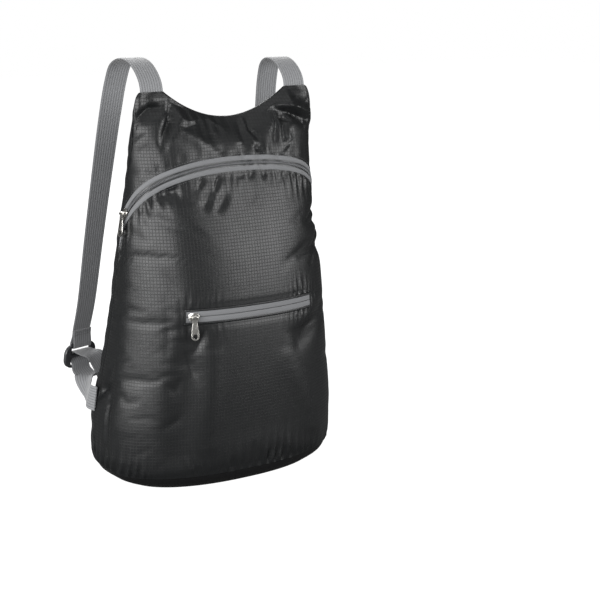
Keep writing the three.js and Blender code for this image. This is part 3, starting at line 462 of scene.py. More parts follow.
def laid_cloth(name, points, along, keep=None):
    """A flat grid of cloth wrapped to some points in millimetres. along gives its own thread directions
    as a UV map in metres, and cells that keep refuses are cut out."""
    rows, columns = points.shape[0] - 1, points.shape[1] - 1
    start_clean()
    bpy.ops.mesh.primitive_grid_add(x_subdivisions=columns, y_subdivisions=rows, size=2)
    piece = bpy.context.object
    piece.name = name
    mesh = piece.data
    flat = np.empty(len(mesh.vertices) * 3)
    mesh.vertices.foreach_get("co", flat)
    flat = flat.reshape(-1, 3)
    i = np.rint((flat[:, 0] + 1) / 2 * columns).astype(int)
    j = np.rint((flat[:, 1] + 1) / 2 * rows).astype(int)
    if keep is not None:
        centres = np.empty(len(mesh.polygons) * 3)
        mesh.polygons.foreach_get("center", centres)
        centres = centres.reshape(-1, 3)
        cell_i = np.floor((centres[:, 0] + 1) / 2 * columns).astype(int)
        cell_j = np.floor((centres[:, 1] + 1) / 2 * rows).astype(int)
        cut = [not keep[b, a] for a, b in zip(cell_i, cell_j)]
    corners = np.empty(len(mesh.loops), int)
    mesh.loops.foreach_get("vertex_index", corners)
    threads = mesh.uv_layers[0]
    threads.name = "threads"
    threads.data.foreach_set("uv", (along[j, i][corners] * MM).ravel())
    mesh.vertices.foreach_set("co", (points[j, i] * MM).ravel())
    if keep is not None:
        mesh.vertices.foreach_set("select", [False] * len(mesh.vertices))
        mesh.edges.foreach_set("select", [False] * len(mesh.edges))
        mesh.polygons.foreach_set("select", cut)
        bpy.context.tool_settings.mesh_select_mode = (False, False, True)
        bpy.ops.object.mode_set(mode="EDIT")
        bpy.ops.mesh.delete(type="FACE")
        bpy.ops.object.mode_set(mode="OBJECT")
    mesh.update()
    return piece


def thicken(piece, thickness):
    """Gives a sheet its thickness inwards and shades it smooth."""
    select_only(piece)
    wall = piece.modifiers.new("wall", "SOLIDIFY")
    wall.thickness = thickness
    wall.offset = -1
    wall.use_rim = True
    bpy.ops.object.modifier_apply(modifier=wall.name)
    bpy.ops.object.shade_smooth_by_angle(angle=math.radians(50))
    return piece


def mesh_piece(name, points, faces, corner_uv=None):
    """A piece from points in millimetres and its faces."""
    mesh = bpy.data.meshes.new(name)
    mesh.from_pydata((np.asarray(points) * MM).tolist(), [], faces)
    mesh.update()
    piece = bpy.data.objects.new(name, mesh)
    bpy.context.scene.collection.objects.link(piece)
    if corner_uv is not None:
        threads = mesh.uv_layers.new(name="threads")
        threads.data.foreach_set("uv", (np.asarray(corner_uv) * MM).ravel())
    select_only(piece)
    bpy.ops.object.shade_smooth_by_angle(angle=math.radians(50))
    return piece


def dress(piece, body, material, slot, *nodes):
    """Finishes a piece: its material, the body it rides on and the solids that it stands for."""
    piece.data.materials.clear()
    piece.data.materials.append(material)
    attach(piece, body)
    if nodes:
        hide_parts(*nodes)
    return piece


def scattered(name, template, places, along, up, scale):
    """One mesh of copies of a small template, each turned to run along its own direction."""
    across = unit(np.cross(up, along))
    up = unit(np.cross(along, across))
    verts, faces = template
    scaled = verts * np.asarray(scale)
    points = (
        places[:, None]
        + scaled[None, :, :1] * along[:, None]
        + scaled[None, :, 1:2] * across[:, None]
        + scaled[None, :, 2:] * up[:, None]
    )
    count = len(verts)
    every = [[a + k * count for a in face] for k in range(len(places)) for face in faces]
    return mesh_piece(name, points.reshape(-1, 3), every)


def small_round(segments, rings):
    """Points and faces of a small ball of unit radius, as a template for stitches and teeth."""
    start_clean()
    bpy.ops.mesh.primitive_uv_sphere_add(segments=segments, ring_count=rings, radius=1)
    ball = bpy.context.object
    places = np.array([v.co for v in ball.data.vertices])
    template = (places, [list(p.vertices) for p in ball.data.polygons])
    bpy.data.objects.remove(ball)
    return template


def read_at(at, run, points):
    """Points or directions of a line, read at some lengths along it."""
    return np.stack([np.interp(at, run, points[:, k]) for k in range(3)], -1)


def quads(rows, columns, closed):
    """Faces between rows of points, joined round where closed."""
    return [
        [j + i, j + (i + 1) % columns, j + columns + (i + 1) % columns, j + columns + i]
        for j in range(0, (rows - 1) * columns, columns)
        for i in range(columns if closed else columns - 1)
    ]


def spaced(points, pitch):
    """Places at even steps along a line, with the direction of the line there."""
    run = length_along(points)
    at = np.arange(pitch / 2, run[-1], pitch)
    ahead = read_at(at + 0.5, run, points) - read_at(at - 0.5, run, points)
    return read_at(at, run, points), unit(ahead), at


def stitched(name, column, z, lift, pitch, length, radius):
    """A line of stitches over the cloth, each a short thread that dips at both ends."""
    line = cloth_point(column, z, lift)
    places, along, at = spaced(line, pitch)
    run = length_along(line)
    up = outward(np.interp(at, run, column), np.interp(at, run, z))
    return scattered(name, small_round(6, 4), places, along, up, (length / 2, radius, radius))


# The cloth of the shell
def waves(run, seed):
    """An uneven wave between about -1 and 1, the same on every run."""
    slower = np.sin(run + seed) + 0.6 * np.sin(2.3 * run + 1.7 * seed)
    return (slower + 0.4 * np.sin(4.1 * run + 0.6 * seed)) / 1.6


def gathers(distance, run, pitch, reach, depth, seed):
    """Small folds that a seam draws into the cloth beside it, deepest a little way off the seam."""
    turn = 2 * math.pi / pitch
    shifted = run + 0.25 * distance * waves(run / (5 * pitch), seed)
    wave = np.sin(turn * shifted + 2.4 * waves(shifted / (2.6 * pitch), seed))
    strength = np.clip(0.45 + 0.75 * waves(run / (3.3 * pitch), seed + 4), 0.05, 1.3)
    share = np.clip(distance, 0, None) / reach
    return depth * strength * wave * share * np.exp(1 - share)


def crease_depth(around, up):
    depth = np.zeros_like(around)
    for from_s, from_z, by_s, by_z, to_s, to_z, reach, share in CREASES:
        nearest = np.full_like(around, 1e9)
        along = np.zeros_like(around)
        for part, (s0, z0, s1, z1) in enumerate(((from_s, from_z, by_s, by_z), (by_s, by_z, to_s, to_z))):
            ls, lz = s1 - s0, z1 - z0
            place = np.clip(((around - s0) * ls + (up - z0) * lz) / (ls**2 + lz**2), 0, 1)
            off = np.hypot(around - s0 - place * ls, up - z0 - place * lz)
            closer = off < nearest
            nearest = np.where(closer, off, nearest)
            along = np.where(closer, (part + place) / 2, along)
        swell = np.sin(math.pi * (0.12 + 0.76 * along))
        depth += share * swell * np.exp(-((nearest / reach) ** 1.35))
    return depth


def around_from(points, middle):
    """Distance round the cloth from its middle column, at each height."""
    steps = np.linalg.norm(np.diff(points, axis=1), axis=2)
    run = np.concatenate([np.zeros((len(points), 1)), np.cumsum(steps, 1)], 1)
    return run - run[:, middle][:, None]


# How much larger than life the cloth is while it settles
SIM_SCALE = 10


def settled(points, held, growth, pressure, frames):
    """Lets a panel that is cut a little too large settle between its seams, and returns where it went."""
    rows, columns = points.shape[:2]
    flat = points.reshape(-1, 3)
    cloth = mesh_piece("settling", flat * SIM_SCALE, quads(rows, columns, closed=False))
    group = cloth.vertex_groups.new(name="held")
    group.add([int(k) for k in np.flatnonzero(held.ravel())], 1.0, "REPLACE")
    modifier = cloth.modifiers.new("cloth", "CLOTH")
    cloth_settings = modifier.settings
    cloth_settings.quality = 6
    cloth_settings.mass = 0.12
    cloth_settings.tension_stiffness = 20
    cloth_settings.compression_stiffness = 8
    cloth_settings.shear_stiffness = 6
    cloth_settings.bending_stiffness = 0.25
    cloth_settings.tension_damping = 12
    cloth_settings.compression_damping = 12
    cloth_settings.air_damping = 2
    cloth_settings.vertex_group_mass = "held"
    cloth_settings.shrink_min = -growth
    cloth_settings.use_pressure = True
    cloth_settings.uniform_pressure_force = pressure
    cloth_settings.effector_weights.gravity = 0
    modifier.point_cache.frame_end = frames
    for step in range(1, frames + 1):
        bpy.context.scene.frame_set(step)
    shaped = cloth.evaluated_get(bpy.context.evaluated_depsgraph_get()).data
    moved = np.empty(len(shaped.vertices) * 3)
    shaped.vertices.foreach_get("co", moved)
    bpy.data.objects.remove(cloth)
    bpy.context.scene.frame_set(1)
    return moved.reshape(points.shape) / MM / SIM_SCALE


def settled_wrinkles(column, z, held, growth=0.035, pressure=0.6, frames=24, most=5.0):
    """How far each point of a panel moves off its smooth face, without its broad swelling."""
    points = cloth_point(column, z)
    moved = settled(points, held, growth, pressure, frames)
    height = np.einsum("ijk,ijk->ij", moved - points, outward(column, z))
    broad = height
    for _ in range(24):
        padded = np.pad(broad, 1, mode="edge")
        broad = (padded[:-2, 1:-1] + padded[2:, 1:-1] + padded[1:-1, :-2] + padded[1:-1, 2:]) / 4
    return np.clip(height - 0.85 * broad, -most, most)


def spread(*keys_and_counts):
    """Places between keys: key, count, key, count, ... key."""
    places = []
    for k in range(0, len(keys_and_counts) - 2, 2):
        low, count, high = keys_and_counts[k : k + 3]
        places.extend(np.linspace(low, high, count, endpoint=False))
    return np.array(places + [keys_and_counts[-1]])


def front_height(column, j, below, above):
    """Height of row j of the front panel: up to the pocket's window, across it, and on to the zip."""
    low = BASE_SEAM + SEAM_GAP / 2
    window = WINDOW_CELLS
    lower = low + (POCKET_LOW - low) * j / below
    middle = POCKET_LOW + WINDOW_HEIGHT * (j - below) / window
    top = beside_zip(column, -ZIP_EDGE)
    upper = POCKET_HIGH + (top - POCKET_HIGH) * (j - below - window) / above
    return np.where(j <= below, lower, np.where(j <= below + window, middle, upper))


# How far from its edge the cloth begins to roll in to the next panel
EDGE_ROLL = 1.8
# Mean width of a column on the cloth
COLUMN_WIDTH = 1.75
# How many columns the back starts after the side seam
BACK_STEP = 0.35
# Cells of the front panel: beside the pocket's window, along it and up it
SIDE_CELLS = 58
POCKET_CELLS = 84
WINDOW_CELLS = 8


def seam_fade(distance, reach):
    share = np.clip(distance / reach, 0, 1)
    return share * share * (3 - 2 * share)


def from_zip(column, z):
    """Distance from the middle of the main zip, along the cloth."""
    rise = (beside_zip(column, 10.0) - zip_height(column)) / 10
    return (z - zip_height(column)) / rise


def from_window(around, z):
    """Distance from the edge of the pocket's window, below zero inside it."""
    across = np.abs(around) - POCKET_SPAN / 2
    above = np.abs(z - POCKET_HEIGHT) - WINDOW_HEIGHT / 2
    outside = np.hypot(np.clip(across, 0, None), np.clip(above, 0, None))
    return outside + np.minimum(np.maximum(across, above), 0)


def from_side_seam(column):
    """Distance from the nearer side seam, taking a column as its mean width on the cloth."""
    turned = np.where(column > 180, 360 - column, np.abs(column))
    return np.abs(SEAM_COLUMN - turned) * COLUMN_WIDTH


def turned_in(column, z, points):
    """A panel's points with its edges rolled in to the next panel, at the neckline and down the ears."""
    top = column_top(column)
    up = np.clip(z / top, 0, 1)
    seam = np.where((column < 0) | (column > 180), -SEAM_COLUMN, SEAM_COLUMN)
    x = points[..., 0]
    slope = (neckline(x + 0.05) - neckline(x - 0.05)) / 0.1
    away = np.minimum(np.abs(smooth_point(seam, z)[..., 0] - x), (top - z) / np.hypot(1, slope))
    roll = (1 - np.sqrt(1 - (1 - np.clip(away / EDGE_ROLL, 0, 1)) ** 2)) * closing(up)
    beside_strap = np.abs(np.abs(x) - STRAP_X) - WEBBING_WIDTH / 2
    strap = np.clip(1 - beside_strap, 0, 1)
    front = is_front(column)
    roll = np.where(front, roll * (1 - strap), roll)
    plane = -BELLY_DEPTH * SECTION["lean"](up)
    meeting = plane + np.where(front, -SEAM_GAP / 2, SEAM_GAP / 2 + 0.3 * strap)
    turned = points.copy()
    turned[..., 1] += roll * (meeting - points[..., 1])
    return turned


def shell_piece(name, node, column, z, lift, keep, material):
    points = turned_in(column, z, cloth_point(column, z, lift))
    flat = smooth_point(column, z)
    middle = int(np.argmin(np.abs(column[0] - (0 if is_front(column[0, 0]) else 180))))
    along = np.stack([around_from(flat, middle), z], -1)
    piece = laid_cloth(name, points, along, keep)
    thicken(piece, bpy.context.scene.backpack_cloth.wall)
    return dress(piece, "bag", material, "ripstop", node)


def panel_wrinkles(columns, heights, most):
    """Settled wrinkles of a panel whose border is sewn down, on a coarse grid of 4 mm."""
    held = np.zeros(columns.shape, bool)
    held[0] = held[-1] = True
    held[:, 0] = held[:, -1] = True
    return settled_wrinkles(columns, heights, held, most=most)


def front_panel(material):
    columns = spread(
        -SEAM_COLUMN, SIDE_CELLS, -POCKET_COLUMN, POCKET_CELLS, POCKET_COLUMN, SIDE_CELLS, SEAM_COLUMN
    )
    below, above = 84, 72
    rows = np.arange(below + WINDOW_CELLS + above + 1)[:, None]
    column = np.broadcast_to(columns, (len(rows), len(columns))).copy()
    z = front_height(column, rows, below, above)
    around = around_from(smooth_point(column, z), SIDE_CELLS + POCKET_CELLS // 2)
    coarse = np.linspace(-SEAM_COLUMN, SEAM_COLUMN, 95)
    share = np.linspace(0, 1, 72)[:, None]
    wide = np.broadcast_to(coarse, (len(share), len(coarse))).copy()
    low = BASE_SEAM + SEAM_GAP / 2
    top = beside_zip(wide, -ZIP_EDGE)
    wrinkles = panel_wrinkles(wide, low + (top - low) * share, 4.0)
    up = (z - low) / (beside_zip(column, -ZIP_EDGE) - low)
    wrinkled = sampled(wrinkles, (column + SEAM_COLUMN) / 2 / SEAM_COLUMN, up)
    base_off = z - BASE_SEAM
    zip_off = -from_zip(column, z) - ZIP_EDGE
    window_off = from_window(around, z)
    side_off = from_side_seam(column)
    nearest = np.minimum(np.minimum(base_off, zip_off), np.minimum(np.abs(window_off), side_off))
    kept = bpy.context.scene.backpack_cloth.wrinkles
    lift = (kept * wrinkled - crease_depth(around, z)) * seam_fade(nearest, 7)
    lift += gathers(zip_off, around, 9, 5, 0.9, 1.3) * seam_fade(side_off, 5)
    lift += gathers(base_off, around, 10, 7, 1.7, 2.9) + gathers(base_off, around, 4.3, 3, 0.7, 0.3)
    lift += gathers(side_off, z, 13, 7, 0.4, 4.4) * seam_fade(np.minimum(base_off, zip_off), 5)
    right = 0.35 + 0.65 * np.clip(around / 60, 0, 1)
    lift += gathers(window_off, around, 6.5, 4, 0.9, 0.7) * right * (window_off > 0)
    keep = np.ones((len(rows) - 1, len(columns) - 1), bool)
    keep[below : below + WINDOW_CELLS, SIDE_CELLS : SIDE_CELLS + POCKET_CELLS] = False
    return shell_piece("front_cloth", "front_panel", column, z, lift, keep, material)


def sampled(field, across, up):
    """A coarse field read smoothly at shares of its width and height."""
    rows, columns = field.shape

    def blend(count, share):
        place = np.clip(share, 0, 1) * (count - 1)
        k = np.clip(place.astype(int), 0, count - 2)
        s = place - k
        weights = (
            0.5 * (-s + 2 * s**2 - s**3),
            0.5 * (2 - 5 * s**2 + 3 * s**3),
            0.5 * (s + 4 * s**2 - 3 * s**3),
            0.5 * (s**3 - s**2),
        )
        return [(np.clip(k + step, 0, count - 1), w) for step, w in zip((-1, 0, 1, 2), weights)]

    total = np.zeros(np.broadcast(across, up).shape)
    for i, wi in blend(columns, across):
        for j, wj in blend(rows, up):
            total += wi * wj * field[j, i]
    return total


def yoke_panel(material):
    columns = np.linspace(-SEAM_COLUMN, SEAM_COLUMN, 181)
    share = spread(0, 60, 0.98, 5, 1)[:, None]
    column = np.broadcast_to(columns, (len(share), len(columns))).copy()
    low = beside_zip(column, ZIP_EDGE)
    z = low + (column_top(column) - low) * share
    around = around_from(smooth_point(column, z), 90)
    coarse = np.linspace(-SEAM_COLUMN, SEAM_COLUMN, 61)
    coarse_share = np.linspace(0, 1, 22)[:, None]
    wide = np.broadcast_to(coarse, (len(coarse_share), len(coarse))).copy()
    coarse_low = beside_zip(wide, ZIP_EDGE)
    wrinkles = panel_wrinkles(wide, coarse_low + (column_top(wide) - coarse_low) * coarse_share, 3.0)
    wrinkled = sampled(wrinkles, (column + SEAM_COLUMN) / 2 / SEAM_COLUMN, share + 0 * z)
    zip_off = from_zip(column, z) - ZIP_EDGE
    neck_off = column_top(column) - z
    side_off = from_side_seam(column)
    nearest = np.minimum(np.minimum(zip_off, neck_off), side_off)
    kept = bpy.context.scene.backpack_cloth.wrinkles
    lift = (kept * wrinkled - crease_depth(around, z)) * seam_fade(nearest, 6)
    lift += gathers(zip_off, around, 14, 6, 0.5, 3.1) * seam_fade(side_off, 5)
    lift += gathers(neck_off, around, 13, 7, 0.6, 5.2) * seam_fade(side_off, 5)
    lift += gathers(side_off, z, 13, 7, 0.35, 0.4) * seam_fade(np.minimum(zip_off, neck_off), 5)
    return shell_piece("yoke_cloth", "yoke_panel", column, z, lift, None, material)


def back_panel(material):
    columns = np.linspace(SEAM_COLUMN, 360 - SEAM_COLUMN, 137)
    share = spread(0, 166, 0.995, 5, 1)[:, None]
    column = np.broadcast_to(columns, (len(share), len(columns))).copy()
    low = BASE_SEAM + SEAM_GAP / 2
    z = low + (column_top(column) - low) * share
    column[:, 0] += BACK_STEP
    column[:, -1] -= BACK_STEP
    around = around_from(smooth_point(column, z), 68)
    coarse = np.linspace(SEAM_COLUMN + BACK_STEP, 360 - SEAM_COLUMN - BACK_STEP, 60)
    coarse_share = np.linspace(0, 1, 84)[:, None]
    wide = np.broadcast_to(coarse, (len(coarse_share), len(coarse))).copy()
    wrinkles = panel_wrinkles(wide, low + (column_top(wide) - low) * coarse_share, 4.5)
    wrinkled = sampled(wrinkles, (column - SEAM_COLUMN) / (360 - 2 * SEAM_COLUMN), share + 0 * z)
    base_off = z - BASE_SEAM
    neck_off = column_top(column) - z
    side_off = from_side_seam(column)
    nearest = np.minimum(np.minimum(base_off, neck_off), side_off)
    lift = bpy.context.scene.backpack_cloth.wrinkles * wrinkled * seam_fade(nearest, 7)
    lift += gathers(base_off, around, 11, 7, 1.5, 0.9) + gathers(base_off, around, 4.7, 3, 0.6, 5.3)
    lift += gathers(neck_off, around, 14, 7, 0.6, 2.2) * seam_fade(side_off, 5)
    lift += gathers(side_off, z, 13, 7, 0.4, 3.7) * seam_fade(np.minimum(base_off, neck_off), 5)
    return shell_piece("back_cloth", "back_panel", column, z, lift, None, material)


# Rings of the base: shares of its floor outwards, then shares of its wall's height upwards
BASE_FLOOR = (0.004, 0.15, 0.3, 0.45, 0.6, 0.75, 0.88, 0.97)
BASE_WALL = (0.0, 0.06, 0.15, 0.27, 0.4, 0.55, 0.7, 0.85, 1.0)


def base_panel(material):
    """The floor of the bag, rounding up to the seam that the body is gathered into."""
    columns = np.linspace(-180, 180, 240, endpoint=False) % 360
    columns = np.where(columns > 260, columns - 360, columns)
    rim = smooth_point(columns, np.zeros_like(columns))
    rings = [np.concatenate([rim[:, :2] * share, np.zeros((len(columns), 1))], 1) for share in BASE_FLOOR]
    threads = [ring[:, :2] for ring in rings]
    top = BASE_SEAM - SEAM_GAP / 2
    for share in BASE_WALL:
        height = np.full_like(columns, top * share)
        ring = smooth_point(columns, height)
        flat = outward(columns, height)
        flat[:, 2] = 0
        lift = gathers(top - height, columns * 2.1, 10, 5, 0.5, 6.1) * np.clip(share * 4, 0, 1)
        rings.append(ring + unit(flat) * lift[:, None])
        threads.append(rim[:, :2] + unit(flat)[:, :2] * height[:, None])
    points = np.concatenate(rings)
    threads = np.concatenate(threads)
    across = len(columns)
    faces = quads(len(rings), across, closed=True)
    faces.append(list(range(across))[::-1])
    corner_uv = threads[np.concatenate([np.array(face) for face in faces])]
    piece = mesh_piece("base_cloth", points, faces, corner_uv)
    thicken(piece, 0.9 * MM)
    return dress(piece, "bag", material, "base_cloth", "base_panel")


# Zips
def strip_piece(name, columns, heights, lifts, wall):
    """A strip of tape along some columns. heights and lifts run across the tape, from its low edge up."""
    column = np.broadcast_to(columns, (len(lifts), len(columns))).copy()
    z = np.stack([height(columns) for height in heights])
    lift = np.broadcast_to(np.array(lifts)[:, None], z.shape)
    points = cloth_point(column, z, lift)
    rows = np.concatenate([[0], np.cumsum(np.linalg.norm(np.diff(points, axis=0), axis=2).mean(1))])
    around = around_from(points, len(columns) // 2)
    piece = laid_cloth(name, points, np.stack([around, np.broadcast_to(rows[:, None], around.shape)], -1))
    return thicken(piece, wall * MM)


def zip_line(offset):
    return lambda column: beside_zip(column, offset)


def level_line(height):
    return lambda column: np.full_like(column, height)


# One tape of the main zip across its width: distance from the middle of the zip, and its lift. It
# dips to the coil on one side and goes under the folded edge of the cloth on the other.
TAPE_SECTION = (
    (2.6, -0.6), (2.75, 0.0), (3.2, 0.35), (4.6, 0.42), (6.2, 0.3), (7.2, -0.2), (8.0, -0.95), (9.6, -1.1),
)


def coil_teeth(name, line, pitch, half, rise):
    """The coils of a zip in a row, each a short rod across it."""
    places, along, at = spaced(line["points"], pitch)
    up = unit(read_at(at, line["run"], line["up"]))
    return scattered(name, small_round(8, 5), places, along, up, (0.44 * pitch, half, rise))


def cloth_line(columns, z, lift):
    points = cloth_point(columns, z, lift)
    return {"points": points, "run": length_along(points), "up": outward(columns, z)}


def main_zip(tape, coil, coil_shadow, thread):
    settings = bpy.context.scene.backpack_zip
    columns = np.linspace(-SEAM_COLUMN, SEAM_COLUMN, 221)
    for side, node in ((1, "main_zip_tape_upper"), (-1, "main_zip_tape_lower")):
        section = TAPE_SECTION if side == 1 else TAPE_SECTION[::-1]
        heights = [zip_line(side * offset) for offset, _ in section]
        piece = strip_piece(f"{node}_woven", columns, heights, [lift for _, lift in section], 0.45)
        dress(piece, "bag", tape, "zip_tape", node)
    # A dark strip under the coil: painted shadow in the narrow gaps between the coil and the tapes
    coil_shadow_lines = [zip_line(offset) for offset in (-2.9, 0, 2.9)]
    under = strip_piece("main_zip_painted_coil_shadow", columns, coil_shadow_lines, [-0.75, -0.6, -0.75], 0.3)
    dress(under, "bag", coil_shadow, "zip_coil")
    line = cloth_line(columns, zip_height(columns), 0.05)
    teeth = coil_teeth("main_zip_teeth", line, settings.pitch / MM, 1.7, 0.85)
    dress(teeth, "bag", coil, "zip_coil", "main_zip_coil")
    for name, offset in (("lower", -ZIP_EDGE - 1.7), ("upper", ZIP_EDGE + 1.7)):
        z = beside_zip(columns, offset)
        rows = stitched(f"main_zip_stitches_{name}", columns, z, 0.1, settings.stitch / MM, 2.1, 0.22)
        dress(rows, "bag", thread, "ripstop")


def pocket_zip(cloth, tape, coil, thread):
    settings = bpy.context.scene.backpack_zip
    end = column_at(POCKET_SPAN / 2 - SEAM_GAP, POCKET_HEIGHT)
    inner = column_at(POCKET_SPAN / 2 - SEAM_GAP - WELT_WIDTH, POCKET_HEIGHT)
    low, high = POCKET_LOW + SEAM_GAP, POCKET_HIGH - SEAM_GAP
    columns = spread(-end, 3, -inner, 80, inner, 3, end)
    ups = spread(low, 3, low + WELT_WIDTH, 6, high - WELT_WIDTH, 3, high)
    column, z = np.meshgrid(columns, ups)
    around = around_from(smooth_point(column, z), len(columns) // 2)
    inside_end = POCKET_SPAN / 2 - SEAM_GAP - np.abs(around)
    inside = np.minimum(inside_end, WINDOW_HEIGHT / 2 - SEAM_GAP - np.abs(z - POCKET_HEIGHT))
    share = np.clip(inside / WELT_WIDTH, 0, 1)
    lift = 0.75 * np.sin(np.pi * (0.12 + 0.7 * share)) + 0.12 * waves(around / 2.1, 0.8)
    keep = np.ones((len(ups) - 1, len(columns) - 1), bool)
    keep[3:9, 3:83] = False
    welt = laid_cloth("pocket_zip_edge", cloth_point(column, z, lift), np.stack([around, z], -1), keep)
    thicken(welt, 1.2 * MM)
    dress(welt, "bag", cloth, "ripstop", "pocket_zip_welt")
    inside_columns = np.linspace(-end, end, 101)
    for side, node in ((1, "pocket_zip_tape_upper"), (-1, "pocket_zip_tape_lower")):
        section = ((0.3, -0.55), (0.45, 0.0), (1.0, 0.18), (3.2, 0.16), (5.2, 0.0), (6.3, -0.5))
        section = section if side == 1 else section[::-1]
        heights = [level_line(POCKET_HEIGHT + side * offset) for offset, _ in section]
        piece = strip_piece(f"{node}_woven", inside_columns, heights, [rise for _, rise in section], 0.45)
        dress(piece, "bag", tape, "zip_tape", node)
    line = cloth_line(inside_columns, np.full_like(inside_columns, POCKET_HEIGHT), -0.75)
    teeth = coil_teeth("pocket_zip_teeth", line, settings.pitch / MM, 0.9, 0.45)
    dress(teeth, "bag", coil, "zip_coil")
    rows = []
    for name, height in (("low", POCKET_LOW + 1.45), ("high", POCKET_HIGH - 1.45)):
        level = np.full_like(inside_columns, height)
        row = stitched(f"pocket_stitches_{name}", inside_columns, level, 0.78, settings.stitch / MM, 2.0, 0.2)
        rows.append(row)
    for row in rows:
        dress(row, "bag", thread, "ripstop")


# Straps
def centripetal(points, per_span=24):
    """A smooth curve through some points."""
    points = np.asarray(points, float)
    padded = np.concatenate([[2 * points[0] - points[1]], points, [2 * points[-1] - points[-2]]])
    gaps = np.maximum(np.sqrt(np.linalg.norm(np.diff(padded, axis=0), axis=1)), 1e-2)
    s = np.arange(per_span)[:, None] / per_span
    spans = []
    for k in range(len(points) - 1):
        a, b, c, d = padded[k : k + 4]
        before, here, after = gaps[k : k + 3]
        leaving = here * ((b - a) / before - (c - a) / (before + here) + (c - b) / here)
        arriving = here * ((c - b) / here - (d - b) / (here + after) + (d - c) / after)
        cubic = 2 * b - 2 * c + leaving + arriving
        square = -3 * b + 3 * c - 2 * leaving - arriving
        spans.append(b + leaving * s + square * s**2 + cubic * s**3)
    return np.concatenate(spans + [points[-1:]])


def length_along(points):
    return np.concatenate([[0], np.cumsum(np.linalg.norm(np.diff(points, axis=0), axis=1))])


def stations_on(points, widths, count):
    """Even stations on a smooth curve, with a width that turns from one direction to another."""
    curve = centripetal(points, 60)
    run = length_along(curve)
    share = np.linspace(0, 1, count + 1)
    turned = read_at(share, np.linspace(0, 1, len(widths)), np.array(widths))
    return read_at(share * run[-1], run, curve), unit(turned)


def adjuster_frame(side):
    turn, tilt = math.radians(STRAP_TURN), math.radians(ADJUSTER_TILT)
    across = np.array([math.cos(turn), -side * math.sin(turn), 0])
    level = np.array([side * math.sin(turn), math.cos(turn), 0])
    upward = np.array([0.0, 0.0, 1.0])
    down = level * math.sin(tilt) - upward * math.cos(tilt)
    behind = level * math.cos(tilt) + upward * math.sin(tilt)
    height = ANCHOR_HEIGHT + WEBBING_WIDTH / 2 + ADJUSTER_HEIGHT * 0.66
    return across, behind, down, np.array([side * (STRAP_X + STRAP_SPREAD), NECK_Y + STRAP_SWING, height])


def in_frame(side, out, away, drop):
    across, behind, down, centre = adjuster_frame(side)
    return centre + across * out + behind * away + down * drop


BAR_AT = (ADJUSTER_HEIGHT - ADJUSTER_BAR) / 2
WRAP = ADJUSTER_THICKNESS / 2 + SEAM_GAP + WEBBING_THICKNESS / 2
BAR_WRAP = ADJUSTER_BAR / 2 + SEAM_GAP + WEBBING_THICKNESS / 2


def upper_route(side, swing, rise):
    """A strap: up from its ear, over, down to the adjuster, round its top bar and up again."""
    across = adjuster_frame(side)[0]
    last = STRAP_ROUTE[-1][2]
    route = []
    for out, back, up in STRAP_ROUTE:
        full = min(max((1 - up) / (1 - last), 0), 1)
        reach = STRAP_SWING * (swing + (1 - swing) * full)
        height = BAG_HEIGHT * (1 + (up - 1) * (rise if up > 1 else 1))
        route.append([side * (STRAP_X + out * STRAP_SPREAD), NECK_Y + back * reach, height])
    level = np.array([1.0, 0.0, 0.0])
    layer = (WEBBING_THICKNESS + SEAM_GAP) / 2
    opening = BAR_AT + 0.65 * STITCHED_TURN
    end = BAR_AT + STITCHED_TURN
    root = [side * STRAP_X, NECK_Y, BAG_HEIGHT - 2.5]
    centres, widths = stations_on(
        [root, *route, in_frame(side, 0, layer, -end)],
        [level, level, level + (across - level) * 0.55, across],
        60,
    )
    turn_up = [in_frame(side, 0, layer, -opening)]
    turn_up += [in_frame(side, 0, away * WRAP, drop * BAR_WRAP - BAR_AT) for away, drop in HALF_TURN]
    turn_up += [in_frame(side, 0, -layer, -opening), in_frame(side, 0, -layer, -end)]
    return np.concatenate([centres, turn_up]), np.concatenate([widths, [across] * len(turn_up)])


def lower_route(side):
    """The lower band: from the side seam up to the adjuster, round its middle bar, and its free end."""
    across, _, _, centre = adjuster_frame(side)
    half = WEBBING_WIDTH / 2
    lift = WEBBING_THICKNESS / 2 + 3 * SEAM_GAP
    column = 180 - side * (180 - SEAM_COLUMN - 1)

    def on_side(rise):
        return smooth_point(column, ANCHOR_HEIGHT + rise) + outward(column, ANCHOR_HEIGHT + rise) * lift

    upright = unit(on_side(-side * half) - on_side(side * half))
    seam = on_side(0)
    arriving = [in_frame(side, 0, away * WRAP, drop * BAR_AT) for away, drop, _ in BAND_IN]
    hanging = [
        seam
        + (arriving[0] - seam) * along
        + np.array([side * out * WEBBING_WIDTH, 0, -drop * WEBBING_WIDTH])
        for along, out, drop, _ in BAND_ROUTE
    ]
    twists = [row[-1] for row in BAND_ROUTE + BAND_IN]
    anchored, anchored_widths = stations_on(
        hanging + arriving, [upright + (across - upright) * twist for twist in twists], 40
    )
    through = [in_frame(side, 0, away * WRAP, drop * BAR_AT) for away, drop in BAND_THROUGH]
    room = centre[1] - BACK_DEPTH
    tail, tail_widths = stations_on(
        [
            in_frame(side, -side * inwards * WEBBING_WIDTH, -away * room, drop * ADJUSTER_HEIGHT)
            for inwards, away, drop in TAIL_ROUTE
        ],
        [across, across],
        16,
    )
    centres = np.concatenate([anchored, through, tail])
    return centres, np.concatenate([anchored_widths, [across] * len(through), tail_widths])


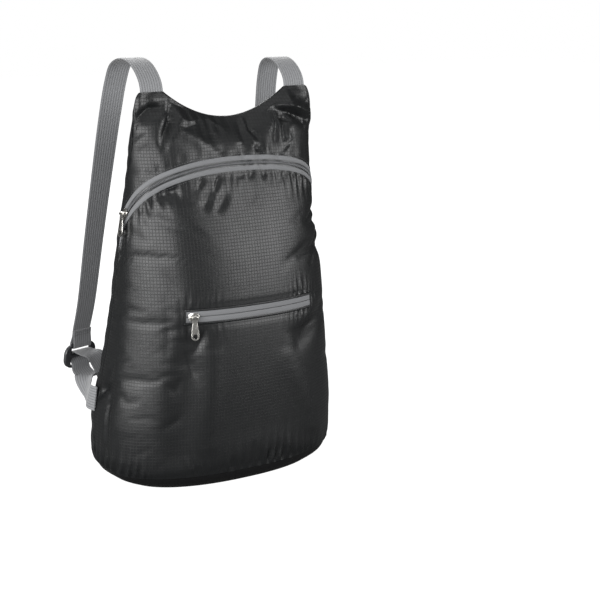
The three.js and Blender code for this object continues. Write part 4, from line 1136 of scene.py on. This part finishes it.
def webbing(name, centres, widths, pitch=1.6):
    """Woven webbing along a route, ribbed along its length, with rounded selvages."""
    settings = bpy.context.scene.backpack_webbing
    curve = centripetal(centres, 8)
    run = length_along(curve)
    keys = np.interp(np.arange(len(centres)) * 8, np.arange(len(curve)), run)
    at = np.linspace(0, run[-1], int(run[-1] / pitch) + 1)
    middle = read_at(at, run, curve)
    width = read_at(at, keys, widths)
    along = unit(np.gradient(middle, axis=0))
    across = unit(width - along * np.sum(width * along, axis=1, keepdims=True))
    normal = np.cross(along, across)
    ribs = settings.ribs
    u = np.linspace(-1, 1, ribs * 4 + 1)
    groove = np.abs(np.sin(math.pi * ribs * (u + 1) / 2)) ** 0.6
    edge = np.sqrt(1 - np.abs(u) ** 14)
    thick = (WEBBING_THICKNESS / 2 - settings.rib_height / MM * (1 - groove)) * (0.35 + 0.65 * edge)
    section = [(a, -t) for a, t in zip(u, thick)] + [(a, t) for a, t in zip(u[::-1], thick[::-1])]
    rings = [middle + across * (a * WEBBING_WIDTH / 2) + normal * t for a, t in section]
    points = np.stack(rings, 1)
    count = len(section)
    faces = quads(len(middle), count, closed=True)
    last = (len(middle) - 1) * count
    faces += [list(range(count))[::-1], list(range(last, last + count))]
    threads = np.stack(
        np.broadcast_arrays(np.array([a for a, _ in section])[None] * WEBBING_WIDTH / 2, at[:, None]), -1
    ).reshape(-1, 2)
    corner_uv = threads[np.concatenate([np.array(face) for face in faces])]
    return mesh_piece(name, points.reshape(-1, 3), faces, corner_uv)


def bar_tacks(name, side, drops, away):
    """Rows of stitches across a strap, through its turned end."""
    across, behind, _, _ = adjuster_frame(side)
    half = WEBBING_WIDTH / 2 - 2
    outs = np.arange(-half, half + 0.1, 1.5)
    places = np.array([in_frame(side, out, away, -drop) for drop in drops for out in outs])
    along = np.tile(across, (len(places), 1))
    up = np.tile(behind * math.copysign(1, away), (len(places), 1))
    return scattered(name, small_round(6, 4), places, along, up, (0.65, 0.25, 0.3))


def straps(web, thread):
    layer = (WEBBING_THICKNESS + SEAM_GAP) / 2
    for name, side, swing, rise in STRAPS:
        upper = webbing(f"strap_{name}_webbing", *upper_route(side, swing, rise))
        dress(upper, "bag", web, "webbing", f"strap_{name}")
        lower = webbing(f"lower_band_{name}_webbing", *lower_route(side))
        dress(lower, "bag", web, "webbing", f"lower_band_{name}")
        drops = (BAR_AT + STITCHED_TURN - 2.2, BAR_AT + STITCHED_TURN - 5.0)
        face = layer + WEBBING_THICKNESS / 2
        for where, away in (("front", -face), ("back", face)):
            tacks = bar_tacks(f"strap_stitches_{name}_{where}", side, drops, away)
            dress(tacks, "bag", thread, "webbing")


# Adjusters and metal
def finished_copy(node, edge, segments, body, material, slot):
    """A copy of a solid with its loose triangles joined and its edges rounded."""
    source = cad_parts[node]
    start_clean()
    piece = source.copy()
    piece.data = source.data.copy()
    piece.name = f"{node}_finished"
    bpy.context.scene.collection.objects.link(piece)
    world = source.matrix_world.copy()
    piece.parent = None
    piece.data.transform(world)
    piece.matrix_world.identity()
    select_only(piece)
    bpy.ops.object.mode_set(mode="EDIT")
    bpy.ops.mesh.select_all(action="SELECT")
    bpy.ops.mesh.remove_doubles(threshold=0.01 * MM)
    bpy.ops.mesh.dissolve_limited(angle_limit=math.radians(1))
    bpy.ops.object.mode_set(mode="OBJECT")
    bevel = piece.modifiers.new("edges", "BEVEL")
    bevel.width = edge * MM
    bevel.segments = segments
    bevel.limit_method = "ANGLE"
    bevel.angle_limit = math.radians(35)
    bevel.use_clamp_overlap = True
    bpy.ops.object.modifier_apply(modifier=bevel.name)
    bpy.ops.object.shade_smooth_by_angle(angle=math.radians(40))
    return dress(piece, body, material, slot, node)


def hardware(plastic, metal):
    for side in ("left", "right"):
        finished_copy(f"adjuster_{side}", 0.6, 3, "bag", plastic, "plastic")
    for zip_name, body in (("main", "main_puller"), ("pocket", "pocket_puller")):
        finished_copy(f"{zip_name}_zip_slider", 0.22, 2, "bag", metal, "metal")
        finished_copy(f"{zip_name}_zip_puller", 0.25, 2, body, metal, "metal")


# Materials
def node(tree, kind, inputs=None, **settings):
    """Adds a node with its settings, and sets or links its inputs."""
    added = tree.nodes.new(kind)
    for name, value in settings.items():
        setattr(added, name, value)
    for name, value in (inputs or {}).items():
        socket = added.inputs[name]
        if isinstance(value, bpy.types.NodeSocket):
            tree.links.new(value, socket)
        else:
            socket.default_value = value
    return added


def new_material(name):
    material = bpy.data.materials.new(name)
    material.use_nodes = True
    tree = material.node_tree
    return material, tree, tree.nodes["Principled BSDF"]


def wear(tree, shader, **inputs):
    for name, value in inputs.items():
        socket = shader.inputs[name.replace("_", " ").title().replace("Ior", "IOR")]
        if isinstance(value, bpy.types.NodeSocket):
            tree.links.new(value, socket)
        else:
            socket.default_value = value


def maths(tree, operation, *values):
    return node(tree, "ShaderNodeMath", dict(enumerate(values)), operation=operation).outputs[0]


def ranged(tree, value, low, high):
    return node(tree, "ShaderNodeMapRange", {"Value": value, "To Min": low, "To Max": high}).outputs[0]


def noise(tree, place, scale, detail=2.0, roughness=0.5):
    inputs = {"Vector": place, "Scale": scale, "Detail": detail, "Roughness": roughness}
    return node(tree, "ShaderNodeTexNoise", inputs).outputs["Fac"]


def bumped(tree, height, strength, distance, **settings):
    inputs = {"Height": height, "Strength": strength, "Distance": distance * MM}
    return node(tree, "ShaderNodeBump", inputs, **settings).outputs[0]


def multiplied(tree, colour, tone):
    inputs = {"Factor": 1.0, 6: colour, 7: tone}
    return node(tree, "ShaderNodeMix", inputs, data_type="RGBA", blend_type="MULTIPLY").outputs[2]


def near_line(tree, coordinate, pitch, width):
    """1 on evenly spaced lines and 0 between them."""
    away = maths(tree, "PINGPONG", coordinate, pitch / 2)
    edges = {"Value": away, "From Min": width * 0.35, "From Max": width * 0.65, "To Min": 1.0, "To Max": 0.0}
    return node(tree, "ShaderNodeMapRange", edges, interpolation_type="SMOOTHSTEP").outputs["Result"]


def threads_of(tree):
    place = node(tree, "ShaderNodeUVMap", uv_map="threads")
    return place.outputs["UV"], node(tree, "ShaderNodeSeparateXYZ", {"Vector": place.outputs["UV"]})


def ripstop_nylon(name, colour, rib_colour):
    """Ripstop nylon, calendered and thinly coated: a dark cloth seen mostly by its broad sheen, with
    thick yarns in a square grid that stand proud of the weave, are rougher and so look darker."""
    settings = bpy.context.scene.backpack_cloth
    material, tree, shader = new_material(name)
    uv, threads = threads_of(tree)
    pitch, width = settings.rib_pitch, settings.rib_width
    across = near_line(tree, threads.outputs["X"], pitch, width)
    grid = maths(tree, "MAXIMUM", across, near_line(tree, threads.outputs["Y"], pitch, width))
    amount = maths(tree, "MULTIPLY", grid, 0.8)
    mixed = node(tree, "ShaderNodeMix", {"Factor": amount, 6: colour, 7: rib_colour}, data_type="RGBA")
    sheen = ranged(tree, noise(tree, uv, 60.0, 4.0, 0.6), 0.28, 0.40)
    height = maths(tree, "MULTIPLY_ADD", noise(tree, uv, 900.0), 0.3, grid)
    wear(
        tree, shader, base_color=mixed.outputs[2], roughness=maths(tree, "MULTIPLY_ADD", grid, 0.15, sheen),
        ior=1.53, specular_ior_level=0.29, normal=bumped(tree, height, 0.3, 0.1),
    )
    return material


def woven_tape(name, colour):
    """Woven polyester zip tape: matt, with a twill drawn at 2 mm, about four times as coarse as it is."""
    material, tree, shader = new_material(name)
    uv, _ = threads_of(tree)
    wave = {"Vector": uv, "Scale": 0.628 / (2 * MM), "Distortion": 1.0, "Detail": 1.0}
    bands = node(tree, "ShaderNodeTexWave", wave, wave_type="BANDS", bands_direction="DIAGONAL")
    twill = bands.outputs["Fac"]
    wear(
        tree, shader, base_color=multiplied(tree, colour, ranged(tree, twill, 0.86, 1.06)), roughness=0.78,
        ior=1.54, sheen_weight=0.2, sheen_roughness=0.5, normal=bumped(tree, twill, 0.3, 0.15),
    )
    return material


def nylon_coil(name, colour):
    """Nylon monofilament coil: smooth and slightly glossy, so that each turn has its own glint."""
    material, tree, shader = new_material(name)
    wear(tree, shader, base_color=colour, roughness=0.42, ior=1.53)
    return material


def woven_webbing(name, colour):
    """Polyester webbing: matt, with ribs of yarn along it and short cross yarns that break up the light.
    Painted shade darkens the grooves between the ribs, and faintly the dips between the cross yarns."""
    settings = bpy.context.scene.backpack_webbing
    material, tree, shader = new_material(name)
    uv, threads = threads_of(tree)
    shifted = maths(tree, "ADD", threads.outputs["X"], WEBBING_WIDTH / 2 * MM)
    groove = near_line(tree, shifted, WEBBING_WIDTH * MM / settings.ribs, 0.9 * MM)
    yarns = near_line(tree, threads.outputs["Y"], 1.25 * MM, 0.7 * MM)
    soil = ranged(tree, noise(tree, uv, 420.0), 0.9, 1.1)
    # Painted shade: the grooves between the ribs darkened by 42 % and the dips between the cross yarns by 7 %,
    # over the soil's uneven tone
    tone = maths(tree, "MULTIPLY_ADD", yarns, -0.07, maths(tree, "MULTIPLY_ADD", groove, -0.42, soil))
    wear(
        tree, shader, base_color=multiplied(tree, colour, tone), roughness=0.72, ior=1.54, sheen_weight=0.25,
        sheen_roughness=0.5, normal=bumped(tree, yarns, 0.25, 0.15, invert=True),
    )
    return material


def moulded_acetal(name):
    """Moulded black acetal: even and dark with a broad soft highlight."""
    material, tree, shader = new_material(name)
    grain = node(tree, "ShaderNodeTexCoord").outputs["Object"]
    fine = bumped(tree, noise(tree, grain, 1800.0), 0.08, 0.05)
    wear(tree, shader, base_color=linear("#2a2b2d"), roughness=0.38, ior=1.48, normal=fine)
    return material


def nickel_plated_zinc(name):
    """Die-cast zinc, barrel polished and nickel plated: bright with softened reflections."""
    material, tree, shader = new_material(name)
    grain = node(tree, "ShaderNodeTexCoord").outputs["Object"]
    worn = ranged(tree, noise(tree, grain, 700.0), 0.16, 0.3)
    wear(tree, shader, base_color=linear("#cfcdc8"), metallic=1.0, roughness=worn)
    return material


def sewing_thread(name, colour):
    """Spun polyester thread: matt and slightly fuzzy."""
    material, tree, shader = new_material(name)
    wear(tree, shader, base_color=colour, roughness=0.7, ior=1.54, sheen_weight=0.2)
    return material


def made(name, maker, *values):
    """A material that several operators share."""
    return bpy.data.materials.get(name) or maker(name, *values)


def shell_cloth():
    settings = bpy.context.scene.backpack_cloth
    return made("ripstop nylon", ripstop_nylon, settings.colour[:], settings.rib_colour[:])


def dark_thread():
    return made("sewing thread", sewing_thread, linear("#26272a"))


# Operators
class BACKPACK_OT_panels(Operator):
    """Lay the cloth of the front, the yoke and the back over their solids, with its folds"""

    bl_idname = "backpack.panels"
    bl_label = "Cloth panels"

    def execute(self, context):
        for panel in (front_panel, yoke_panel, back_panel):
            panel(shell_cloth())
        return {"FINISHED"}


class BACKPACK_OT_base(Operator):
    """Make the base that the body is gathered into"""

    bl_idname = "backpack.base"
    bl_label = "Base"

    def execute(self, context):
        # The base is the body's ripstop painted darker: painted shade under the bag
        base_panel(made("base ripstop", ripstop_nylon, linear("#0c0c0d"), linear("#050505")))
        return {"FINISHED"}


class BACKPACK_OT_main_zip(Operator):
    """Make the tapes, the coil and the stitches of the arched main zip"""

    bl_idname = "backpack.main_zip"
    bl_label = "Main zip"

    def execute(self, context):
        settings = context.scene.backpack_zip
        tape = made("woven polyester tape", woven_tape, settings.tape_colour[:])
        coil = made("nylon coil", nylon_coil, settings.coil_colour[:])
        # The dark coil colour, also used for the painted shadow under the main zip's coil
        coil_shadow = made("dark nylon coil", nylon_coil, linear("#1c1d1e"))
        main_zip(tape, coil, coil_shadow, dark_thread())
        return {"FINISHED"}


class BACKPACK_OT_pocket_zip(Operator):
    """Make the folded edge, the tapes and the stitches of the pocket's zip"""

    bl_idname = "backpack.pocket_zip"
    bl_label = "Pocket zip"

    def execute(self, context):
        settings = context.scene.backpack_zip
        tape = made("woven polyester tape", woven_tape, settings.tape_colour[:])
        coil = made("dark nylon coil", nylon_coil, linear("#1c1d1e"))
        pocket_zip(shell_cloth(), tape, coil, dark_thread())
        return {"FINISHED"}


class BACKPACK_OT_straps(Operator):
    """Weave the two straps and the two lower bands"""

    bl_idname = "backpack.straps"
    bl_label = "Straps"

    def execute(self, context):
        web = made("polyester webbing", woven_webbing, context.scene.backpack_webbing.colour[:])
        straps(web, made("grey thread", sewing_thread, linear("#4c4d4f")))
        return {"FINISHED"}


class BACKPACK_OT_hardware(Operator):
    """Finish the plastic adjusters and the metal sliders and pullers"""

    bl_idname = "backpack.hardware"
    bl_label = "Adjusters and sliders"

    def execute(self, context):
        plastic = made("moulded acetal", moulded_acetal)
        metal = made("nickel-plated zinc", nickel_plated_zinc)
        hardware(plastic, metal)
        return {"FINISHED"}


def soft_light(name, place, target, size, power):
    start_clean()
    bpy.ops.object.light_add(type="AREA", location=place)
    light = bpy.context.object
    light.name = name
    light.data.shape = "RECTANGLE"
    light.data.size, light.data.size_y = size
    light.data.energy = power
    light.rotation_euler = (Vector(target) - Vector(place)).to_track_quat("-Z", "Y").to_euler()


class BACKPACK_OT_stage(Operator):
    """Set up the pale floor, the soft lights and the camera"""

    bl_idname = "backpack.stage"
    bl_label = "Stage"

    def execute(self, context):
        settings = context.scene.backpack_stage
        start_clean()
        bpy.ops.mesh.primitive_plane_add(size=12, location=(0, 0, -0.0002))
        floor = context.object
        floor.name = "floor"
        material, tree, shader = new_material("lit white acrylic")
        seen = node(tree, "ShaderNodeLightPath").outputs["Is Camera Ray"]
        glow = node(tree, "ShaderNodeMath", {0: seen, 1: 1.0}, operation="MULTIPLY")
        wear(
            tree, shader, base_color=settings.floor_colour[:], roughness=0.9,
            emission_color=(1.0, 1.0, 1.0, 1.0), emission_strength=glow.outputs[0],
        )
        floor.data.materials.append(material)
        soft_light("left light", (-1.83, -1.4, 0.64), (0, 0, 0.3), (2.2, 1.2), settings.left_light)
        soft_light("side light", (-2.1, 0.1, 0.64), (0, 0, 0.3), (1.5, 1.2), settings.side_light)
        soft_light("right light", (1.35, -1.8, 0.55), (0, 0, 0.2), (1.7, 1.4), settings.right_light)
        soft_light("top light", (0, -0.5, 2.2), (0, 0, 0.1), (2.0, 2.0), settings.top_light)
        soft_light("back light", (0.5, 2.2, 1.5), (0, 0, 0.2), (2.0, 1.4), settings.back_light)
        world = bpy.data.worlds.new("studio")
        world.use_nodes = True
        background = world.node_tree.nodes["Background"]
        background.inputs["Color"].default_value = linear("#ffffff")
        seen = node(world.node_tree, "ShaderNodeLightPath")
        share = {"Value": seen.outputs["Is Camera Ray"], "To Min": settings.fill, "To Max": 1.0}
        strength = node(world.node_tree, "ShaderNodeMapRange", share)
        world.node_tree.links.new(strength.outputs[0], background.inputs["Strength"])
        context.scene.world = world
        context.scene.view_settings.view_transform = "Standard"
        bpy.ops.object.camera_add(location=(-0.786, -1.2776, 0.500))
        camera = context.object
        level = Vector((0.571, 0.821, 0)).normalized()
        pitch = math.radians(12.21)
        ahead = level * math.cos(pitch) - Vector((0, 0, 1)) * math.sin(pitch)
        camera.rotation_euler = ahead.to_track_quat("-Z", "Y").to_euler()
        camera.data.lens = 88.5
        camera.data.sensor_width = 36
        camera.data.sensor_fit = "HORIZONTAL"
        context.scene.camera = camera
        return {"FINISHED"}


class BACKPACK_PT_tools(Panel):
    bl_idname = "BACKPACK_PT_tools"
    bl_label = "Packable backpack"
    bl_space_type = "VIEW_3D"
    bl_region_type = "UI"
    bl_category = "Backpack"

    def draw(self, context):
        for settings in (
            context.scene.backpack_cloth,
            context.scene.backpack_webbing,
            context.scene.backpack_zip,
            context.scene.backpack_stage,
        ):
            box = self.layout.box()
            for name in settings.__annotations__:
                box.prop(settings, name)
        for operator in OPERATORS:
            self.layout.operator(operator.bl_idname)


OPERATORS = (
    BACKPACK_OT_panels,
    BACKPACK_OT_base,
    BACKPACK_OT_main_zip,
    BACKPACK_OT_pocket_zip,
    BACKPACK_OT_straps,
    BACKPACK_OT_hardware,
    BACKPACK_OT_stage,
)
SETTINGS = {
    "backpack_cloth": ClothSettings,
    "backpack_webbing": WebbingSettings,
    "backpack_zip": ZipSettings,
    "backpack_stage": StageSettings,
}


def register():
    for name, group in SETTINGS.items():
        bpy.utils.register_class(group)
        setattr(bpy.types.Scene, name, PointerProperty(type=group))
    for operator in OPERATORS:
        bpy.utils.register_class(operator)
    bpy.utils.register_class(BACKPACK_PT_tools)


def unregister():
    bpy.utils.unregister_class(BACKPACK_PT_tools)
    for operator in reversed(OPERATORS):
        bpy.utils.unregister_class(operator)
    for name, group in SETTINGS.items():
        delattr(bpy.types.Scene, name)
        bpy.utils.unregister_class(group)


def main():
    register()
    bpy.ops.backpack.panels()
    bpy.ops.backpack.base()
    bpy.ops.backpack.main_zip()
    bpy.ops.backpack.pocket_zip()
    bpy.ops.backpack.straps()
    bpy.ops.backpack.hardware()
    bpy.ops.backpack.stage()


if __name__ == "__main__":
    main()
